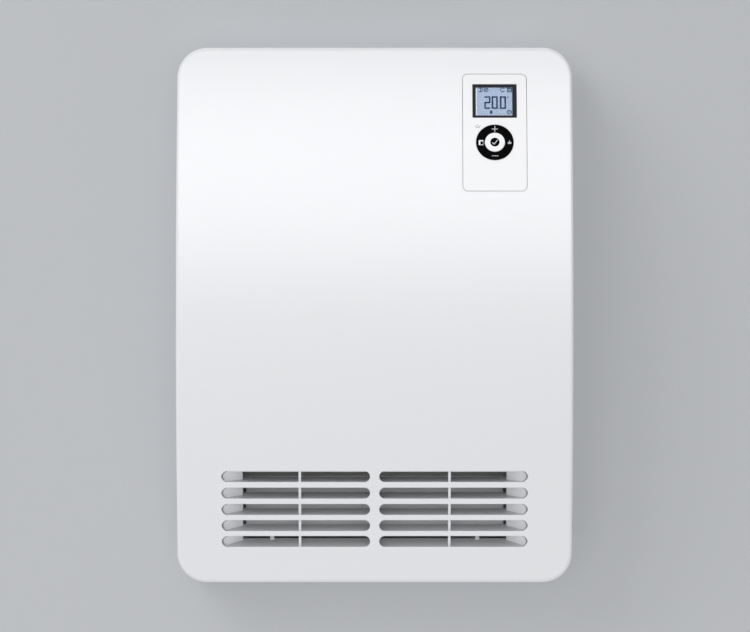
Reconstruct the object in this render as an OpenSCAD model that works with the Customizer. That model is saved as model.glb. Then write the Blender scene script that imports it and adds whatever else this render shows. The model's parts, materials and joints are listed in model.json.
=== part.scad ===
// Wall-hung bathroom fan heater: a bowed front casing over a tangential fan.
// Millimetres. +X is to the right, +Y is into the wall and +Z is up. The wall is the plane
// y = 0, and the origin is the middle of the wall bracket's four fixing holes.

/* [Casing] */
// Width of the front casing
body_w = 346; // [340:1:360]
// Height of the front casing
body_h = 470; // [466:1:480]
// From the wall to the crown of the bowed front
body_depth = 120; // [118:1:124]
// How far the bow's upper and lower edges lie behind its crown
bow_drop = 60; // [54:1:62]
// Corner radius of the casing, seen from the front
corner_r = 26; // [20:1:32]
// Rounding of the casing's front edge
edge_r = 3; // [2.8:0.1:4]
// Wall of the front casing
wall = 2.6; // [2:0.1:2.8]
// From the wall of the room to the casing's rear rim
rim_gap = 16; // [14:1:18]

/* [Air outlet] */
// Rows of outlet slots
slot_rows = 5; // [3:1:5]
// Height of one slot
slot_h = 9.6; // [8:0.2:10.4]
// From the casing's side to the outer end of the slots
slot_side = 39.3; // [38:0.1:44]
// Width of the bar between the left and right slots
slot_gap = 8.2; // [6:0.2:12]
// Step from row to row, along the bow
slot_pitch = 15.3; // [14.4:0.1:15.6]
// Middle of the rows, measured up the bow from its lower edge
slot_up = 71.4; // [70:0.2:74]
// Thickness of the louvre blades behind the slots
louvre_t = 1.6; // [1.2:0.1:2]
// Thickness of the two upright ribs behind the slots
rib_t = 2.2; // [1.6:0.1:3]

/* [Control panel] */
// From the casing's right side to the control panel's middle
panel_side = 68; // [65:1:75]
// Middle of the control panel, measured down the bow from its upper edge
panel_down = 81.4; // [80:0.1:85]
// Width of the control panel
panel_w = 55.8; // [55:0.2:60]
// Height of the control panel, along the bow
panel_h = 109.3; // [108:0.1:112]
// Corner radius of the control panel
panel_r = 4.5; // [3:0.5:6]
// Thickness of the control panel
panel_t = 2; // [1.6:0.1:2.2]
// Width of the display opening
display_w = 38.8; // [38:0.2:41]
// Height of the display opening
display_h = 32.2; // [31:0.2:34]
// From the panel's middle up to the display's middle
display_up = 28.7; // [28:0.1:30]
// From the panel's middle down to the keys' middle
keys_down = 10.4; // [10:0.1:12]
// Outer radius of the ring of four keys
ring_r = 16.25; // [15:0.05:17]
// Radius of the round key in the ring
ok_r = 8.75; // [8:0.05:9]
// How far the keys stand out of the panel
key_proud = 0.5; // [0.3:0.1:0.8]
// How far a key travels when it is pressed
key_travel = 0.6; // [0.3:0.1:0.7]

/* [Fan] */
// Outer radius of the impeller
fan_r = 27; // [25:0.5:27.5]
// From the casing's lower edge up to the fan's axis
fan_up = 139; // [137:0.5:141]
// Room for the motor, between the duct and the casing's side
motor_room = 57.5; // [56:0.5:60]
// Number of blades
blades = 26; // [18:1:30]
// Thickness of a blade
blade_t = 1; // [0.8:0.1:1.4]
// Radius of the motor shaft
shaft_r = 4; // [3:0.25:4.5]
// Radius of the stub shaft at the other end
stub_r = 3; // [2:0.25:3.5]

/* [Heating element] */
// Depth of the element along the air stream
element_d = 9; // [7:0.5:10]
// Periods in one zigzag ribbon
ribbon_waves = 22; // [12:1:26]
// Thickness of the ribbon as drawn
ribbon_t = 0.6; // [0.4:0.1:0.8]

/* [Rear casing and bracket] */
// Wall of the rear casing
tray_t = 2.5; // [2:0.1:3]
// From the room's wall to the back of the rear casing
tray_back = 10; // [9:0.5:11]
// From the room's wall to the front edge of the rear casing
tray_front = 28; // [26:1:30]
// Width and height of the wall bracket
bracket_w = 240; // [230:2:250]
// Spacing of the four fixing holes
fixing_span = 200; // [190:2:205]
// Radius of the fixing holes
fixing_r = 3; // [2:0.25:4]
// Thickness of the bracket's sheet steel
bracket_t = 1.5; // [1:0.1:2]

/* [Top filter] */
// Length of the filter cassette's opening
filter_l = 230; // [200:2:240]
// Width of the filter cassette's opening
filter_w = 24; // [20:1:25]

/* [Hidden] */
$fn = 64;
fit = 0.3;                      // gap between pieces that seat in each other
skin = 0.1;                     // gap where a piece only rests on another
sheet = 1;                      // sheet metal of the fan housing
eps = 0.05;                     // overlap of shapes that are joined or cut
deep = 200;                     // longer than any cut through the part
bow_r = (pow(body_h / 2, 2) + pow(bow_drop, 2)) / (2 * bow_drop);
bow_yc = bow_r - body_depth;    // axis of the bow lies behind the wall
edge_s = bow_r * asin(body_h / 2 / bow_r) * PI / 180;   // from the crown to the bow's edge
tray_w = body_w - 2 * (wall + fit);
tray_h = body_h - 2 * (wall + fit);
tray_r = corner_r - wall - fit;
tray_in = -tray_back - tray_t;  // inner face of the rear casing's back

// outlet
slot_out = body_w / 2 - slot_side;  // outer end of a slot
slot_l = slot_out - slot_gap / 2;
slot_mid = edge_s - slot_up;
flare_depth = 9.5;                  // the flare behind a slot's outer end
grille_in = wall + fit;             // the grille insert starts this far under the bow
louvre_rise = [12, 18, 22, 28, 37]; // how far each blade rises to the back, in degrees
louvre_deep = [18, 16, 13.5, 10.5, 9.5];
roof_rise = 6;                      // the same for the plate above the top slots
rib_x = slot_gap / 2 + slot_l / 2 - 3.5;    // place of the upright ribs
grille_wall = 2;

// fan unit, in the plane seen from the side
fan_behind = 9.5;                   // from the rear casing to the impeller
fan_y = tray_in - fan_behind - fan_r;
fan_z = -body_h / 2 + fan_up;
duct_x = body_w / 2 - motor_room;   // inner face of the fan's end plates
fan_l = 2 * duct_x - 5;
end_t = 1.5;                        // thickness of the end plates
end_x = duct_x + end_t;
disc_t = 2;
hub_r = shaft_r + 3;
hub_l = 11;
scroll_start = 80;                  // the scroll starts here, in degrees from the wall side
scroll_end = -80;
scroll_r0 = fan_r + 2;
scroll_r1 = fan_r + 14;
scroll_power = 1.5;
floor_less = 2.4;                   // the floor ends this far inside the end plates
tongue_gap = 1.6;                   // between the tongue's upper edge and the impeller
roof_seat = 13.5;                   // the tongue stands this far back on the grille's roof
rotor_r = 13;
air_gap = 0.4;
core_x = [duct_x + 10, duct_x + 28];
bearing_wall = 1.5;
run_gap = 0.05;                     // running clearance of a shaft in its bush
post_reach = 16;                    // fan posts end this far from the room's wall
core_half = 22;
core_low = -22;
core_high = 48;
leg_h = 12;
screw_dy = 17;                      // motor screws, either side of the shaft
motor_screw_r = 1.6;

// control panel
panel_x = body_w / 2 - panel_side;
panel_s = edge_s - panel_down;
keys_s = panel_s - keys_down;
display_s = panel_s + display_up;
key_gap = 0.3;
flange_t = 0.8;
flange_lip = 0.9;
key_foot = 5.2;                     // depth of a key's foot under the bow
mat_top = key_foot + key_travel + fit;
mat_t = 1.2;
board_top = 9.6;                    // depth of the display board under the bow
board_t = 1.6;
carrier_wall = 1.6;
carrier_lip = 3;
lip_t = 1.4;
board_post = 1.2;
carrier_deep = board_top + board_t + skin + board_post + carrier_wall;

// bracket hooks
hook_x = 96;
hook_w = 18;
hook_z = [60, -45];
hook_rise = 10;
window_w = bracket_w - 90;

// screws under the casing
screw_x = 110;
screw_y = -(rim_gap + tray_front) / 2;
screw_r = 1.9;
screw_head_r = 3.8;
screw_l = 13;
boss_w = 10;

// mains switch on the right-hand side
switch_z = 57 - body_h / 2;
switch_y = -36;
switch_w = 13;
switch_h = 19;
switch_deep = 20;
bezel_t = 1.2;
bezel_lip = 1.4;
rocker_tilt = 8;

// filter
cassette_h = 19;
rack_wall = 2;
rack_ledge = 1.5;
filter_gap = 0.8;                   // between the rack and the bow's upper edge
filter_y = bow_drop - body_depth + wall + fit + filter_gap + rack_wall + filter_w / 2;

// boards and terminals on the rear casing
power_mid = [88 - body_w / 2, body_h / 2 - 67];
power_size = [130, 66];
power_post = 8;
cable_at = [-40, 30];
cable_r = 6;
grommet_waist = 9;
grommet_flange = 12;
terminal_at = [10, -14];
board_screw_r = 1.4;
foot_screw_r = 1.5;
lead_y = -22;                       // leads run this far in front of the room's wall
terminal_size = [44, 17, 22];

// ---------------------------------------------------------------- helpers

// y of the bow at height z, for a surface that lies t under the front
function bow_y(z, t = 0) = bow_yc - sqrt(pow(bow_r - t, 2) - z * z);
// angle and height of a point that is s up the bow from its crown
function bow_angle(s) = s / bow_r * 180 / PI;
function bow_z(s) = bow_r * sin(bow_angle(s));
// middle of slot row i, counted from the top
function slot_z(i) = -bow_z(slot_mid + (i - (slot_rows - 1) / 2) * slot_pitch);
function polar(c, r, a) = [c[0] + r * cos(a), c[1] + r * sin(a)];
function reversed(list) = [for (i = [len(list) - 1:-1:0]) list[i]];
// a strip of thickness t to the right of an open run of points
function strip(points, t) = concat(points, reversed([for (i = [0:len(points) - 1])
    let (a = points[max(i - 1, 0)], b = points[min(i + 1, len(points) - 1)],
         d = (b - a) / norm(b - a))
    points[i] + t * [d[1], -d[0]]]));

module rounded_rect(w, h, r) {
    square([w - 2 * r, h], center = true);
    square([w, h - 2 * r], center = true);
    for (sx = [-1, 1], sy = [-1, 1]) translate([sx * (w / 2 - r), sy * (h / 2 - r)]) circle(r);
}
// a flat outline seen from the front, drawn out from y0 back to y1
module front_prism(y0, y1) {
    translate([0, y1, 0]) rotate([90, 0, 0]) linear_extrude(y1 - y0) children();
}
// an outline seen from the side, with points [y, z], drawn out from x0 to x1
module side_prism(x0, x1) {
    translate([x0, 0, 0]) rotate([90, 0, 90]) linear_extrude(x1 - x0) children();
}
// a rod along X
module rod_x(x0, x1, r, y = fan_y, z = fan_z) {
    translate([x0, y, z]) rotate([0, 90, 0]) cylinder(r = r, h = x1 - x0);
}
// a rod along Y
module rod_y(y0, y1, r, x = 0, z = 0) {
    translate([x, y1, z]) rotate([90, 0, 0]) cylinder(r = r, h = y1 - y0);
}
module block(low, high) { translate(low) cube(high - low); }
// a wire along a run of points
module wire(points, r) {
    for (i = [0:len(points) - 2]) {
        d = points[i + 1] - points[i];
        translate(points[i]) rotate([0, acos(d[2] / norm(d)), atan2(d[1], d[0])])
            cylinder(r = r, h = norm(d), $fn = 16);
    }
    for (i = [1:1:len(points) - 2]) translate(points[i]) sphere(r * 1.05, $fn = 16);
}
// everything that lies t or more under the bow
module under_bow(t) {
    translate([0, bow_yc, 0]) rotate([0, 90, 0])
        cylinder(r = bow_r - t, h = 2 * body_w, center = true, $fn = 360);
}
// an outline with points [distance from the bow's axis, x], turned from angle a0 to a1 down
module bow_turn(a0, a1) {
    translate([0, bow_yc, 0]) rotate([0, 90, 0])
        rotate_extrude(angle = a1 - a0, start = a0 - 90, $fn = 360) children();
}
// a frame on the bow at x and s: Z outwards, Y up the bow
module on_bow(x, s) {
    translate([x, bow_y(bow_z(s)), bow_z(s)]) rotate([90 - bow_angle(s), 0, 0]) children();
}

// ---------------------------------------------------------------- casings

side_steps = 30;
corner_steps = 6;
// points round the casing's outline, drawn in by inset
function outline(inset) =
    let (cx = body_w / 2 - corner_r, cz = body_h / 2 - corner_r, r = corner_r - inset)
    concat([for (sx = [-1, 1], sz = [-1, 1], i = [0:corner_steps])
            let (a = 90 * i / corner_steps) [sx * (cx + r * cos(a)), sz * (cz + r * sin(a))]],
        [for (sx = [-1, 1], i = [1:side_steps - 1])
            [sx * (cx + r), cz * (2 * i / side_steps - 1)]]);
// the casing's form, drawn in by inset, with a front edge of radius r, back to the plane y
module casing_form(inset, r, y, sides) {
    hull() {
        for (p = outline(inset + r))
            translate([p[0], bow_y(p[1], inset + r), p[1]]) sphere(r, $fn = sides);
        for (p = outline(inset))
            translate([p[0], y, p[1]]) cube(0.01, center = true);
    }
}
module slots(y0, y1) {
    for (sx = [-1, 1], i = [0:slot_rows - 1])
        translate([sx * (slot_gap + slot_l) / 2, 0, slot_z(i)]) front_prism(y0, y1) {
            square([slot_l - slot_h, slot_h], center = true);
            for (e = [-1, 1]) translate([e * (slot_l - slot_h) / 2, 0]) circle(slot_h / 2);
        }
}
module front_casing() {
    color("white") difference() {
        casing_form(0, edge_r, -rim_gap, 16);
        casing_form(wall, max(edge_r - wall, 0.4), -rim_gap + 1, 8);
        slots(-body_depth, -40);
        on_bow(panel_x, panel_s) translate([0, 0, -12]) linear_extrude(24)
            rounded_rect(panel_w + 2 * fit, panel_h + 2 * fit, panel_r + fit);
        translate([0, filter_y, body_h / 2 - 5]) linear_extrude(10)
            square([filter_l, filter_w], center = true);
        translate([body_w / 2 - 5, switch_y, switch_z]) cube([20, switch_w, switch_h] + [0, 1, 1]
            * 2 * fit, center = true);
        for (sx = [-1, 1]) translate([sx * screw_x, screw_y, -body_h / 2]) {
            translate([0, 0, -1]) cylinder(r = screw_r + fit, h = 10);
            translate([0, 0, -eps]) cylinder(r1 = screw_head_r + fit, r2 = screw_r + fit,
                h = screw_head_r - screw_r);
        }
    }
}
module hook_slots() {
    for (sx = [-1, 1], z = hook_z)
        translate([sx * hook_x - hook_w / 2 - 1, -tray_back - deep / 2, z - hook_rise - 3])
            cube([hook_w + 2, deep, hook_rise + 3 + fit]);
}
module rear_casing() {
    color("whitesmoke") difference() {
        union() {
            difference() {
                front_prism(-tray_front, -tray_back) rounded_rect(tray_w, tray_h, tray_r);
                front_prism(-tray_front - 1, tray_in)
                    rounded_rect(tray_w - 2 * tray_t, tray_h - 2 * tray_t, tray_r - tray_t);
            }
            // pads that rest on the bracket
            for (sx = [-1, 1], sz = [-1, 1])
                rod_y(-tray_back - eps, -bracket_t - skin, 6, sx * (bracket_w + window_w) / 4,
                    sz * 35);
            // posts for the power board
            for (p = board_screws_at)
                rod_y(tray_in - power_post, tray_in + eps, 3.5, p[0], p[1]);
            // posts for the fan's feet
            for (p = foot_screws_at) rod_y(-post_reach + skin, tray_in + eps, 5, p[0], p[1]);
            // screw bosses behind the lower wall
            for (sx = [-1, 1])
                translate([sx * screw_x - boss_w / 2, screw_y - boss_w / 2, -tray_h / 2 + eps])
                    cube([boss_w, -tray_back - screw_y + boss_w / 2 - eps, tray_t + 9]);
            // stiffening ribs
            for (x = [-148, 0, 148]) translate([x - 1, tray_in - 3, -tray_h / 2 + 20])
                cube([2, 3 + eps, x == 0 ? 60 : tray_h - 40]);
        }
        hook_slots();
        // room for the filter's rack, where it reaches back over the rear casing
        translate([0, filter_y, rack_low]) linear_extrude(deep) square([filter_l, filter_w]
            + [1, 1] * 2 * (rack_wall + fit), center = true);
        rod_y(-tray_back - tray_t - 1, 0, grommet_waist, cable_at[0], cable_at[1]);
        for (sx = [-1, 1]) translate([sx * screw_x, screw_y, -body_h / 2])
            cylinder(r = screw_r, h = screw_l + 1);
        for (p = board_screws_at) rod_y(board_y - 1, tray_in + 1, board_screw_r, p[0], p[1]);
        for (p = foot_screws_at) rod_y(-post_reach - 1, -tray_back - 1, foot_screw_r, p[0], p[1]);
    }
}
foot_above = 16;
foot_below = 44;
foot_z = [fan_z + foot_above, fan_z - foot_below];
foot_screws_at = [for (sx = [-1, 1], z = foot_z) [sx * (end_x + 7), z]];
screw_inset = 6;
board_screws_at = [for (sx = [-1, 1], sz = [-1, 1])
    power_mid + [sx * (power_size[0] / 2 - screw_inset), sz * (power_size[1] / 2 - screw_inset)]];
module wall_bracket() {
    color("silver") {
        difference() {
            front_prism(-bracket_t, 0) rounded_rect(bracket_w, bracket_w, 8);
            front_prism(-bracket_t - 1, 1) rounded_rect(window_w, window_w, 12);
            for (sx = [-1, 1], sz = [-1, 1])
                rod_y(-bracket_t - 1, 1, fixing_r, sx * fixing_span / 2, sz * fixing_span / 2);
        }
        for (sx = [-1, 1], z = hook_z) translate([sx * hook_x - hook_w / 2, 0, z])
            rotate([90, 0, 90]) linear_extrude(hook_w) polygon([[-bracket_t + eps, 0],
                [tray_in - fit, 0], [tray_in - fit, hook_rise],
                [tray_in - fit - bracket_t, hook_rise], [tray_in - fit - bracket_t, -bracket_t],
                [-bracket_t + eps, -bracket_t]]);
    }
}
module cover_screws() {
    color("silver") for (sx = [-1, 1]) translate([sx * screw_x, screw_y, -body_h / 2])
        difference() {
            union() {
                cylinder(r1 = screw_head_r, r2 = screw_r, h = screw_head_r - screw_r);
                cylinder(r = screw_r, h = screw_l);
            }
            for (a = [0, 90]) rotate(a) translate([0, 0, 0.5])
                cube([4, 0.8, 1 + 2 * eps], center = true);
        }
}

// ---------------------------------------------------------------- outlet grille

grille_top = slot_z(0) + slot_h / 2 + 1;
grille_low = slot_z(slot_rows - 1) - slot_h / 2;
grille_r = bow_r - grille_in;
tab_x = 90;
tab_w = 3.6;
// back edge of the lowest blade
blade_end = [bow_y(grille_low, grille_in) + louvre_deep[slot_rows - 1],
    grille_low + louvre_deep[slot_rows - 1] * tan(louvre_rise[slot_rows - 1])];
function grille_angle(z) = asin(-z / grille_r);
// the space inside the flared mouth, with its sides moved out by t
module grille_space(t, a0, a1) {
    mouth = [grille_r + wall, slot_out + t + wall * (slot_out - duct_x) / flare_depth];
    bow_turn(a0, a1) polygon([[mouth[0], -mouth[1]], mouth, [grille_r - flare_depth, duct_x + t],
        [grille_r - 34, duct_x + t], [grille_r - 34, -duct_x - t],
        [grille_r - flare_depth, -duct_x - t]]);
}
// a blade whose upper face starts at height z on the bow and rises by a degrees to the back
module louvre(z, a, depth) {
    side_prism(-slot_out - grille_wall, slot_out + grille_wall)
        translate([bow_y(z, grille_in), z]) rotate(a)
            translate([-12, -louvre_t]) square([12 + depth / cos(a), louvre_t]);
}
// what the blades and ribs may fill, seen from the side
grille_back = [[bow_y(grille_top) + 22, grille_top + 1],
    [bow_y(grille_low) + 12, grille_low + 9]];
module grille_side() {
    polygon([[-body_depth, grille_top + 1], grille_back[0], grille_back[1],
        [grille_back[1][0], grille_low + 4.5], [bow_y(grille_low) + 1, grille_low - 4],
        [-body_depth, grille_low - 4]]);
}
module outlet_grille() {
    color("white") difference() {
        intersection() {
            under_bow(grille_in);
            union() {
                // flared side walls
                intersection() {
                    difference() {
                        grille_space(grille_wall, grille_angle(grille_top),
                            grille_angle(grille_low) + 0.7);
                        grille_space(0, grille_angle(grille_top) - 1,
                            grille_angle(grille_low) + 2);
                    }
                    side_prism(-body_w / 2, body_w / 2) grille_side();
                }
                intersection() {
                    grille_space(0.2, grille_angle(grille_top) - 0.5,
                        grille_angle(grille_low) + 0.6);
                    union() {
                        louvre(grille_top, roof_rise, louvre_deep[0]);
                        for (i = [0:slot_rows - 1])
                            louvre(slot_z(i) - slot_h / 2, louvre_rise[i], louvre_deep[i]);
                        for (x = [-rib_x, 0, rib_x]) side_prism(x - rib_t / 2, x + rib_t / 2)
                            grille_side();
                    }
                }
                // tabs on the back of the lowest blade
                for (x = [-tab_x, tab_x]) side_prism(x - tab_w / 2, x + tab_w / 2)
                    translate([blade_end[0] - 1.6, blade_end[1] - 2]) square([1.5, 6]);
            }
        }
    }
}

// ---------------------------------------------------------------- fan housing

fan_c = [fan_y, fan_z];
// front edge of the duct floor
floor_end = grille_back[1] + [3.7, 3.9];
// the tongue stands on the grille's roof and leads up past the impeller
roof_y = bow_y(grille_top, grille_in);
tongue_foot = [roof_y + roof_seat, grille_top + roof_seat * tan(roof_rise) + 1.2];
tongue = [[fan_y - fan_r - tongue_gap, fan_z + 8],
    [fan_y - fan_r - tongue_gap - 1.8, fan_z - 4], tongue_foot + [-4, 6.3], tongue_foot];
// the heating element lies between the tongue's foot and the scroll's lower edge
element_a = tongue_foot + [1.6, 4.5];
element_b = polar(fan_c, scroll_r1, scroll_end) - [3.2, 1.8];
element_mid = (element_a + element_b) / 2;
element_w = norm(element_b - element_a);
element_tilt = atan2(element_b[1] - element_a[1], element_b[0] - element_a[0]);
scroll_steps = 20;
scroll_points = [for (i = [0:scroll_steps])
    let (f = i / scroll_steps)
    polar(fan_c, scroll_r0 + (scroll_r1 - scroll_r0) * pow(f, scroll_power),
        scroll_start + (scroll_end - scroll_start) * f)];
module scroll_plate() {
    color("gainsboro") difference() {
        side_prism(-duct_x + fit, duct_x - fit)
            polygon(strip(reversed(concat(scroll_points, [floor_end])), sheet));
        for (s = [-1, 1]) translate([s * duct_x, floor_end[0], floor_end[1]])
            cube([2 * floor_less, deep / 4, 2 * (fan_z - scroll_r1 - 6 - floor_end[1])],
                center = true);
    }
}
module tongue_plate() {
    color("gainsboro") side_prism(-duct_x + fit, duct_x - fit) polygon(strip(tongue, sheet));
}
module end_outline() {
    polygon([[-post_reach, fan_z + fan_r + 5], [fan_y - fan_r, fan_z + fan_r + 5],
        [tongue[0][0] - 4, tongue[0][1]], [tongue[2][0] - 3, tongue[2][1]],
        [tongue[2][0] - 3, grille_top + 1 + fit], grille_back[0] + [fit, fit],
        grille_back[1] + [1.6, 1.6], [floor_end[0] + 6, floor_end[1] + 2],
        [-30, fan_z - fan_r - 22], [-post_reach, fan_z - fan_r - 22]]);
}
// right = 1 for the motor's side, -1 for the bearing's side
module fan_end(right) {
    color("gainsboro") mirror([right > 0 ? 0 : 1, 0, 0]) difference() {
        union() {
            side_prism(duct_x, end_x) end_outline();
            block([duct_x, -post_reach - end_t, foot_z[1] - 8],
                [end_x + 13, -post_reach, foot_z[0] + 8]);
        }
        rod_x(duct_x - 1, end_x + 1, right > 0 ? hub_r + 3 : grommet_r);
        if (right > 0) for (s = [-1, 1])
            rod_x(duct_x - 1, end_x + 1, motor_screw_r, fan_y + s * screw_dy);
        if (right < 0) for (i = [0, 1])
            rod_x(duct_x - 1, end_x + 1, 3, element_post(i)[1], element_post(i)[2]);
        for (z = foot_z) rod_y(-post_reach - end_t - 1, -post_reach + 1, foot_screw_r + 0.2,
            end_x + 7, z);
    }
}
// middle of a terminal post of the heating element, in the plane x = 0
function element_post(i) = [0, element_mid[0] + i * row_pitch * cos(element_tilt),
    element_mid[1] + i * row_pitch * sin(element_tilt)];
post_r = 1.5;
module element_posts() {
    color("silver") for (i = [0, 1]) rod_x(-end_x - 9, -duct_x + fit + end_card_t + 1, post_r,
        element_post(i)[1], element_post(i)[2]);
}
grommet_r = stub_r + 5;
module blade(a) {
    // an arc between the rim and the inner edge, leaning forwards
    rotate(a) intersection() {
        difference() {
            circle(fan_r - 0.4);
            circle(fan_r - 8.5);
        }
        translate([fan_r - 6, -9]) difference() {
            circle(9.5 + blade_t / 2);
            circle(9.5 - blade_t / 2);
        }
        translate([fan_r - 12, 0]) square([14, 12]);
    }
}
module impeller() {
    color("lightgray") difference() {
        union() {
            translate([0, fan_y, fan_z]) rotate([90, 0, 90]) {
                translate([0, 0, -fan_l / 2 + disc_t / 2]) linear_extrude(fan_l - disc_t)
                    for (i = [0:blades - 1]) blade(360 * i / blades);
                for (x = [-fan_l / 6, fan_l / 6]) translate([0, 0, x - disc_t / 2])
                    linear_extrude(disc_t) difference() {
                        circle(fan_r);
                        circle(fan_r - 9);
                    }
            }
            for (s = [-1, 1]) rod_x(s * (fan_l - disc_t) / 2 - disc_t / 2,
                s * (fan_l - disc_t) / 2 + disc_t / 2, fan_r);
            rod_x(fan_l / 2 - hub_l, fan_l / 2 + 1, hub_r);
            rod_x(-fan_l / 2 - 1, -fan_l / 2 + hub_l, stub_r + 3);
        }
        rod_x(fan_l / 2 - hub_l - 1, fan_l / 2 + 2, shaft_r);
        rod_x(-fan_l / 2 - 2, -fan_l / 2 + hub_l + 1, stub_r);
    }
}
module motor_shaft() {
    color("lightsteelblue") rod_x(fan_l / 2 - hub_l + 1, core_x[1] + 13, shaft_r);
}
module stub_shaft() {
    color("lightsteelblue") rod_x(-duct_x - 9, -fan_l / 2 + hub_l - 1, stub_r);
}

// ---------------------------------------------------------------- motor

module motor_rotor() {
    color("slategray") difference() {
        rod_x(core_x[0] + 0.5, core_x[1] - 0.5, rotor_r);
        rod_x(core_x[0], core_x[1], shaft_r);
    }
}
module motor_core() {
    color("dimgray") difference() {
        translate([0, fan_y, fan_z]) block([core_x[0], -core_half, core_low],
            [core_x[1], core_half, core_high]);
        rod_x(core_x[0] - 1, core_x[1] + 1, rotor_r + air_gap);
        translate([0, fan_y, fan_z]) block([core_x[0] - 1, -core_half + 10, rotor_r + 5],
            [core_x[1] + 1, core_half - 10, core_high - leg_h]);
        for (s = [-1, 1])
            rod_x(core_x[0] - 1, core_x[1] + 1, motor_screw_r + 0.2, fan_y + s * screw_dy);
    }
}
module motor_coil() {
    color("chocolate") translate([0, fan_y, fan_z]) difference() {
        block([core_x[0] - 6, -core_half + 11, core_high - leg_h - 6],
            [core_x[1] + 6, core_half - 11, core_high + 6]);
        block([core_x[0] - 0.2, -core_half, core_high - leg_h - 0.2],
            [core_x[1] + 0.2, core_half, core_high + 0.2]);
    }
}
// a bearing bridge: bar from x0 to x1, feet that reach xa and xb
module motor_bridge(x0, x1, xa, xb, boss0, boss1) {
    color("silver") difference() {
        union() {
            translate([0, fan_y, fan_z]) block([x0, -screw_dy - 4, -7], [x1, screw_dy + 4, 7]);
            for (s = [-1, 1]) rod_x(xa, xb, motor_screw_r + 2.4, fan_y + s * screw_dy);
            rod_x(boss0, boss1, shaft_r + bearing_wall + 2.5);
        }
        rod_x(x0 - 20, x1 + 20, shaft_r + bearing_wall);
        for (s = [-1, 1])
            rod_x(x0 - 20, x1 + 20, motor_screw_r + 0.2, fan_y + s * screw_dy);
    }
}
inner_bridge = [end_x + 2, end_x + 4];
outer_bridge = [core_x[1] + 5, core_x[1] + 7];
module motor_bridge_inner() {
    motor_bridge(inner_bridge[0], inner_bridge[1], end_x + skin, core_x[0] - skin,
        inner_bridge[0] - 1, inner_bridge[1] + 2);
}
module motor_bridge_outer() {
    motor_bridge(outer_bridge[0], outer_bridge[1], core_x[1] + skin, outer_bridge[1] + eps,
        outer_bridge[0] - 2, outer_bridge[1] + 1);
}
module motor_bearings() {
    color("peru") for (x = [inner_bridge, outer_bridge]) difference() {
        rod_x(x[0] - 1.5, x[1] + 1.5, shaft_r + bearing_wall);
        rod_x(x[0] - 3, x[1] + 3, shaft_r + run_gap);
    }
}
module motor_screws() {
    color("silver") for (s = [-1, 1]) {
        rod_x(duct_x - 1.5, outer_bridge[1] + 2, motor_screw_r, fan_y + s * screw_dy);
        rod_x(outer_bridge[1] + 0.1, outer_bridge[1] + 2.2, motor_screw_r + 1.4,
            fan_y + s * screw_dy);
    }
}
module end_bearing() {
    color("peru") difference() {
        rod_x(-end_x - 4.5, -duct_x + 0.2, stub_r + 2);
        rod_x(-end_x - 6, -duct_x + 2, stub_r + run_gap);
    }
}
module bearing_cushion() {
    color("dimgray") difference() {
        union() {
            rod_x(-end_x - 2.5, -end_x - eps, grommet_r + 2);
            rod_x(-end_x - 0.1, -duct_x + 0.1, grommet_r - 0.1);
        }
        rod_x(-end_x - 4, -duct_x + 2, stub_r + 2);
    }
}

// ---------------------------------------------------------------- heating element

ribbon_rows = [-1, 0, 1];
rail_t = 1;
row_pitch = (element_w - 2 * rail_t - 2) / 3;
mica_t = 0.8;
end_card_t = 1.5;
module on_element() {
    translate([0, element_mid[0], element_mid[1]]) rotate([element_tilt, 0, 0]) children();
}
module element_frame() {
    color("silver") on_element() {
        for (s = [-1, 1]) {
            translate([0, s * (element_w - rail_t) / 2, 0])
                cube([2 * (duct_x - fit), rail_t, element_d], center = true);
            translate([s * (duct_x - fit - end_card_t / 2), 0, 0]) difference() {
                cube([end_card_t, element_w - 2 * eps, element_d], center = true);
                if (s < 0) for (i = [0, 1]) translate([0, i * row_pitch, 0]) rotate([0, 90, 0])
                    cylinder(r = post_r, h = 4, center = true);
            }
        }
    }
}
module mica_strips() {
    color("tan") on_element() for (i = [-1.5:1:1.5])
        translate([0, i * row_pitch, 0])
            cube([2 * (duct_x - fit - end_card_t - skin), mica_t, element_d - 1], center = true);
}
module heating_ribbons() {
    half = duct_x - 5;
    swing = row_pitch / 2 - mica_t / 2 - fit;
    color("rosybrown") on_element() for (row = ribbon_rows)
        translate([0, row * row_pitch, -1.5]) linear_extrude(3) polygon(strip(
            [for (i = [0:2 * ribbon_waves])
                [half * (i / ribbon_waves - 1), (swing - ribbon_t / 2) * (i % 2 == 0 ? -1 : 1)]],
            ribbon_t));
}
cutout_at = [fan_y - 17, fan_z - 22];
module thermal_cutout() {
    color("black") {
        rod_x(-end_x - 7, -end_x - skin, 8, cutout_at[0], cutout_at[1]);
        for (s = [-1, 1]) translate([0, cutout_at[0] + s * 4, cutout_at[1]])
            block([-end_x - 14, -0.4, -3], [-end_x - 7 + eps, 0.4, 3]);
    }
}

// ---------------------------------------------------------------- on the rear casing

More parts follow.
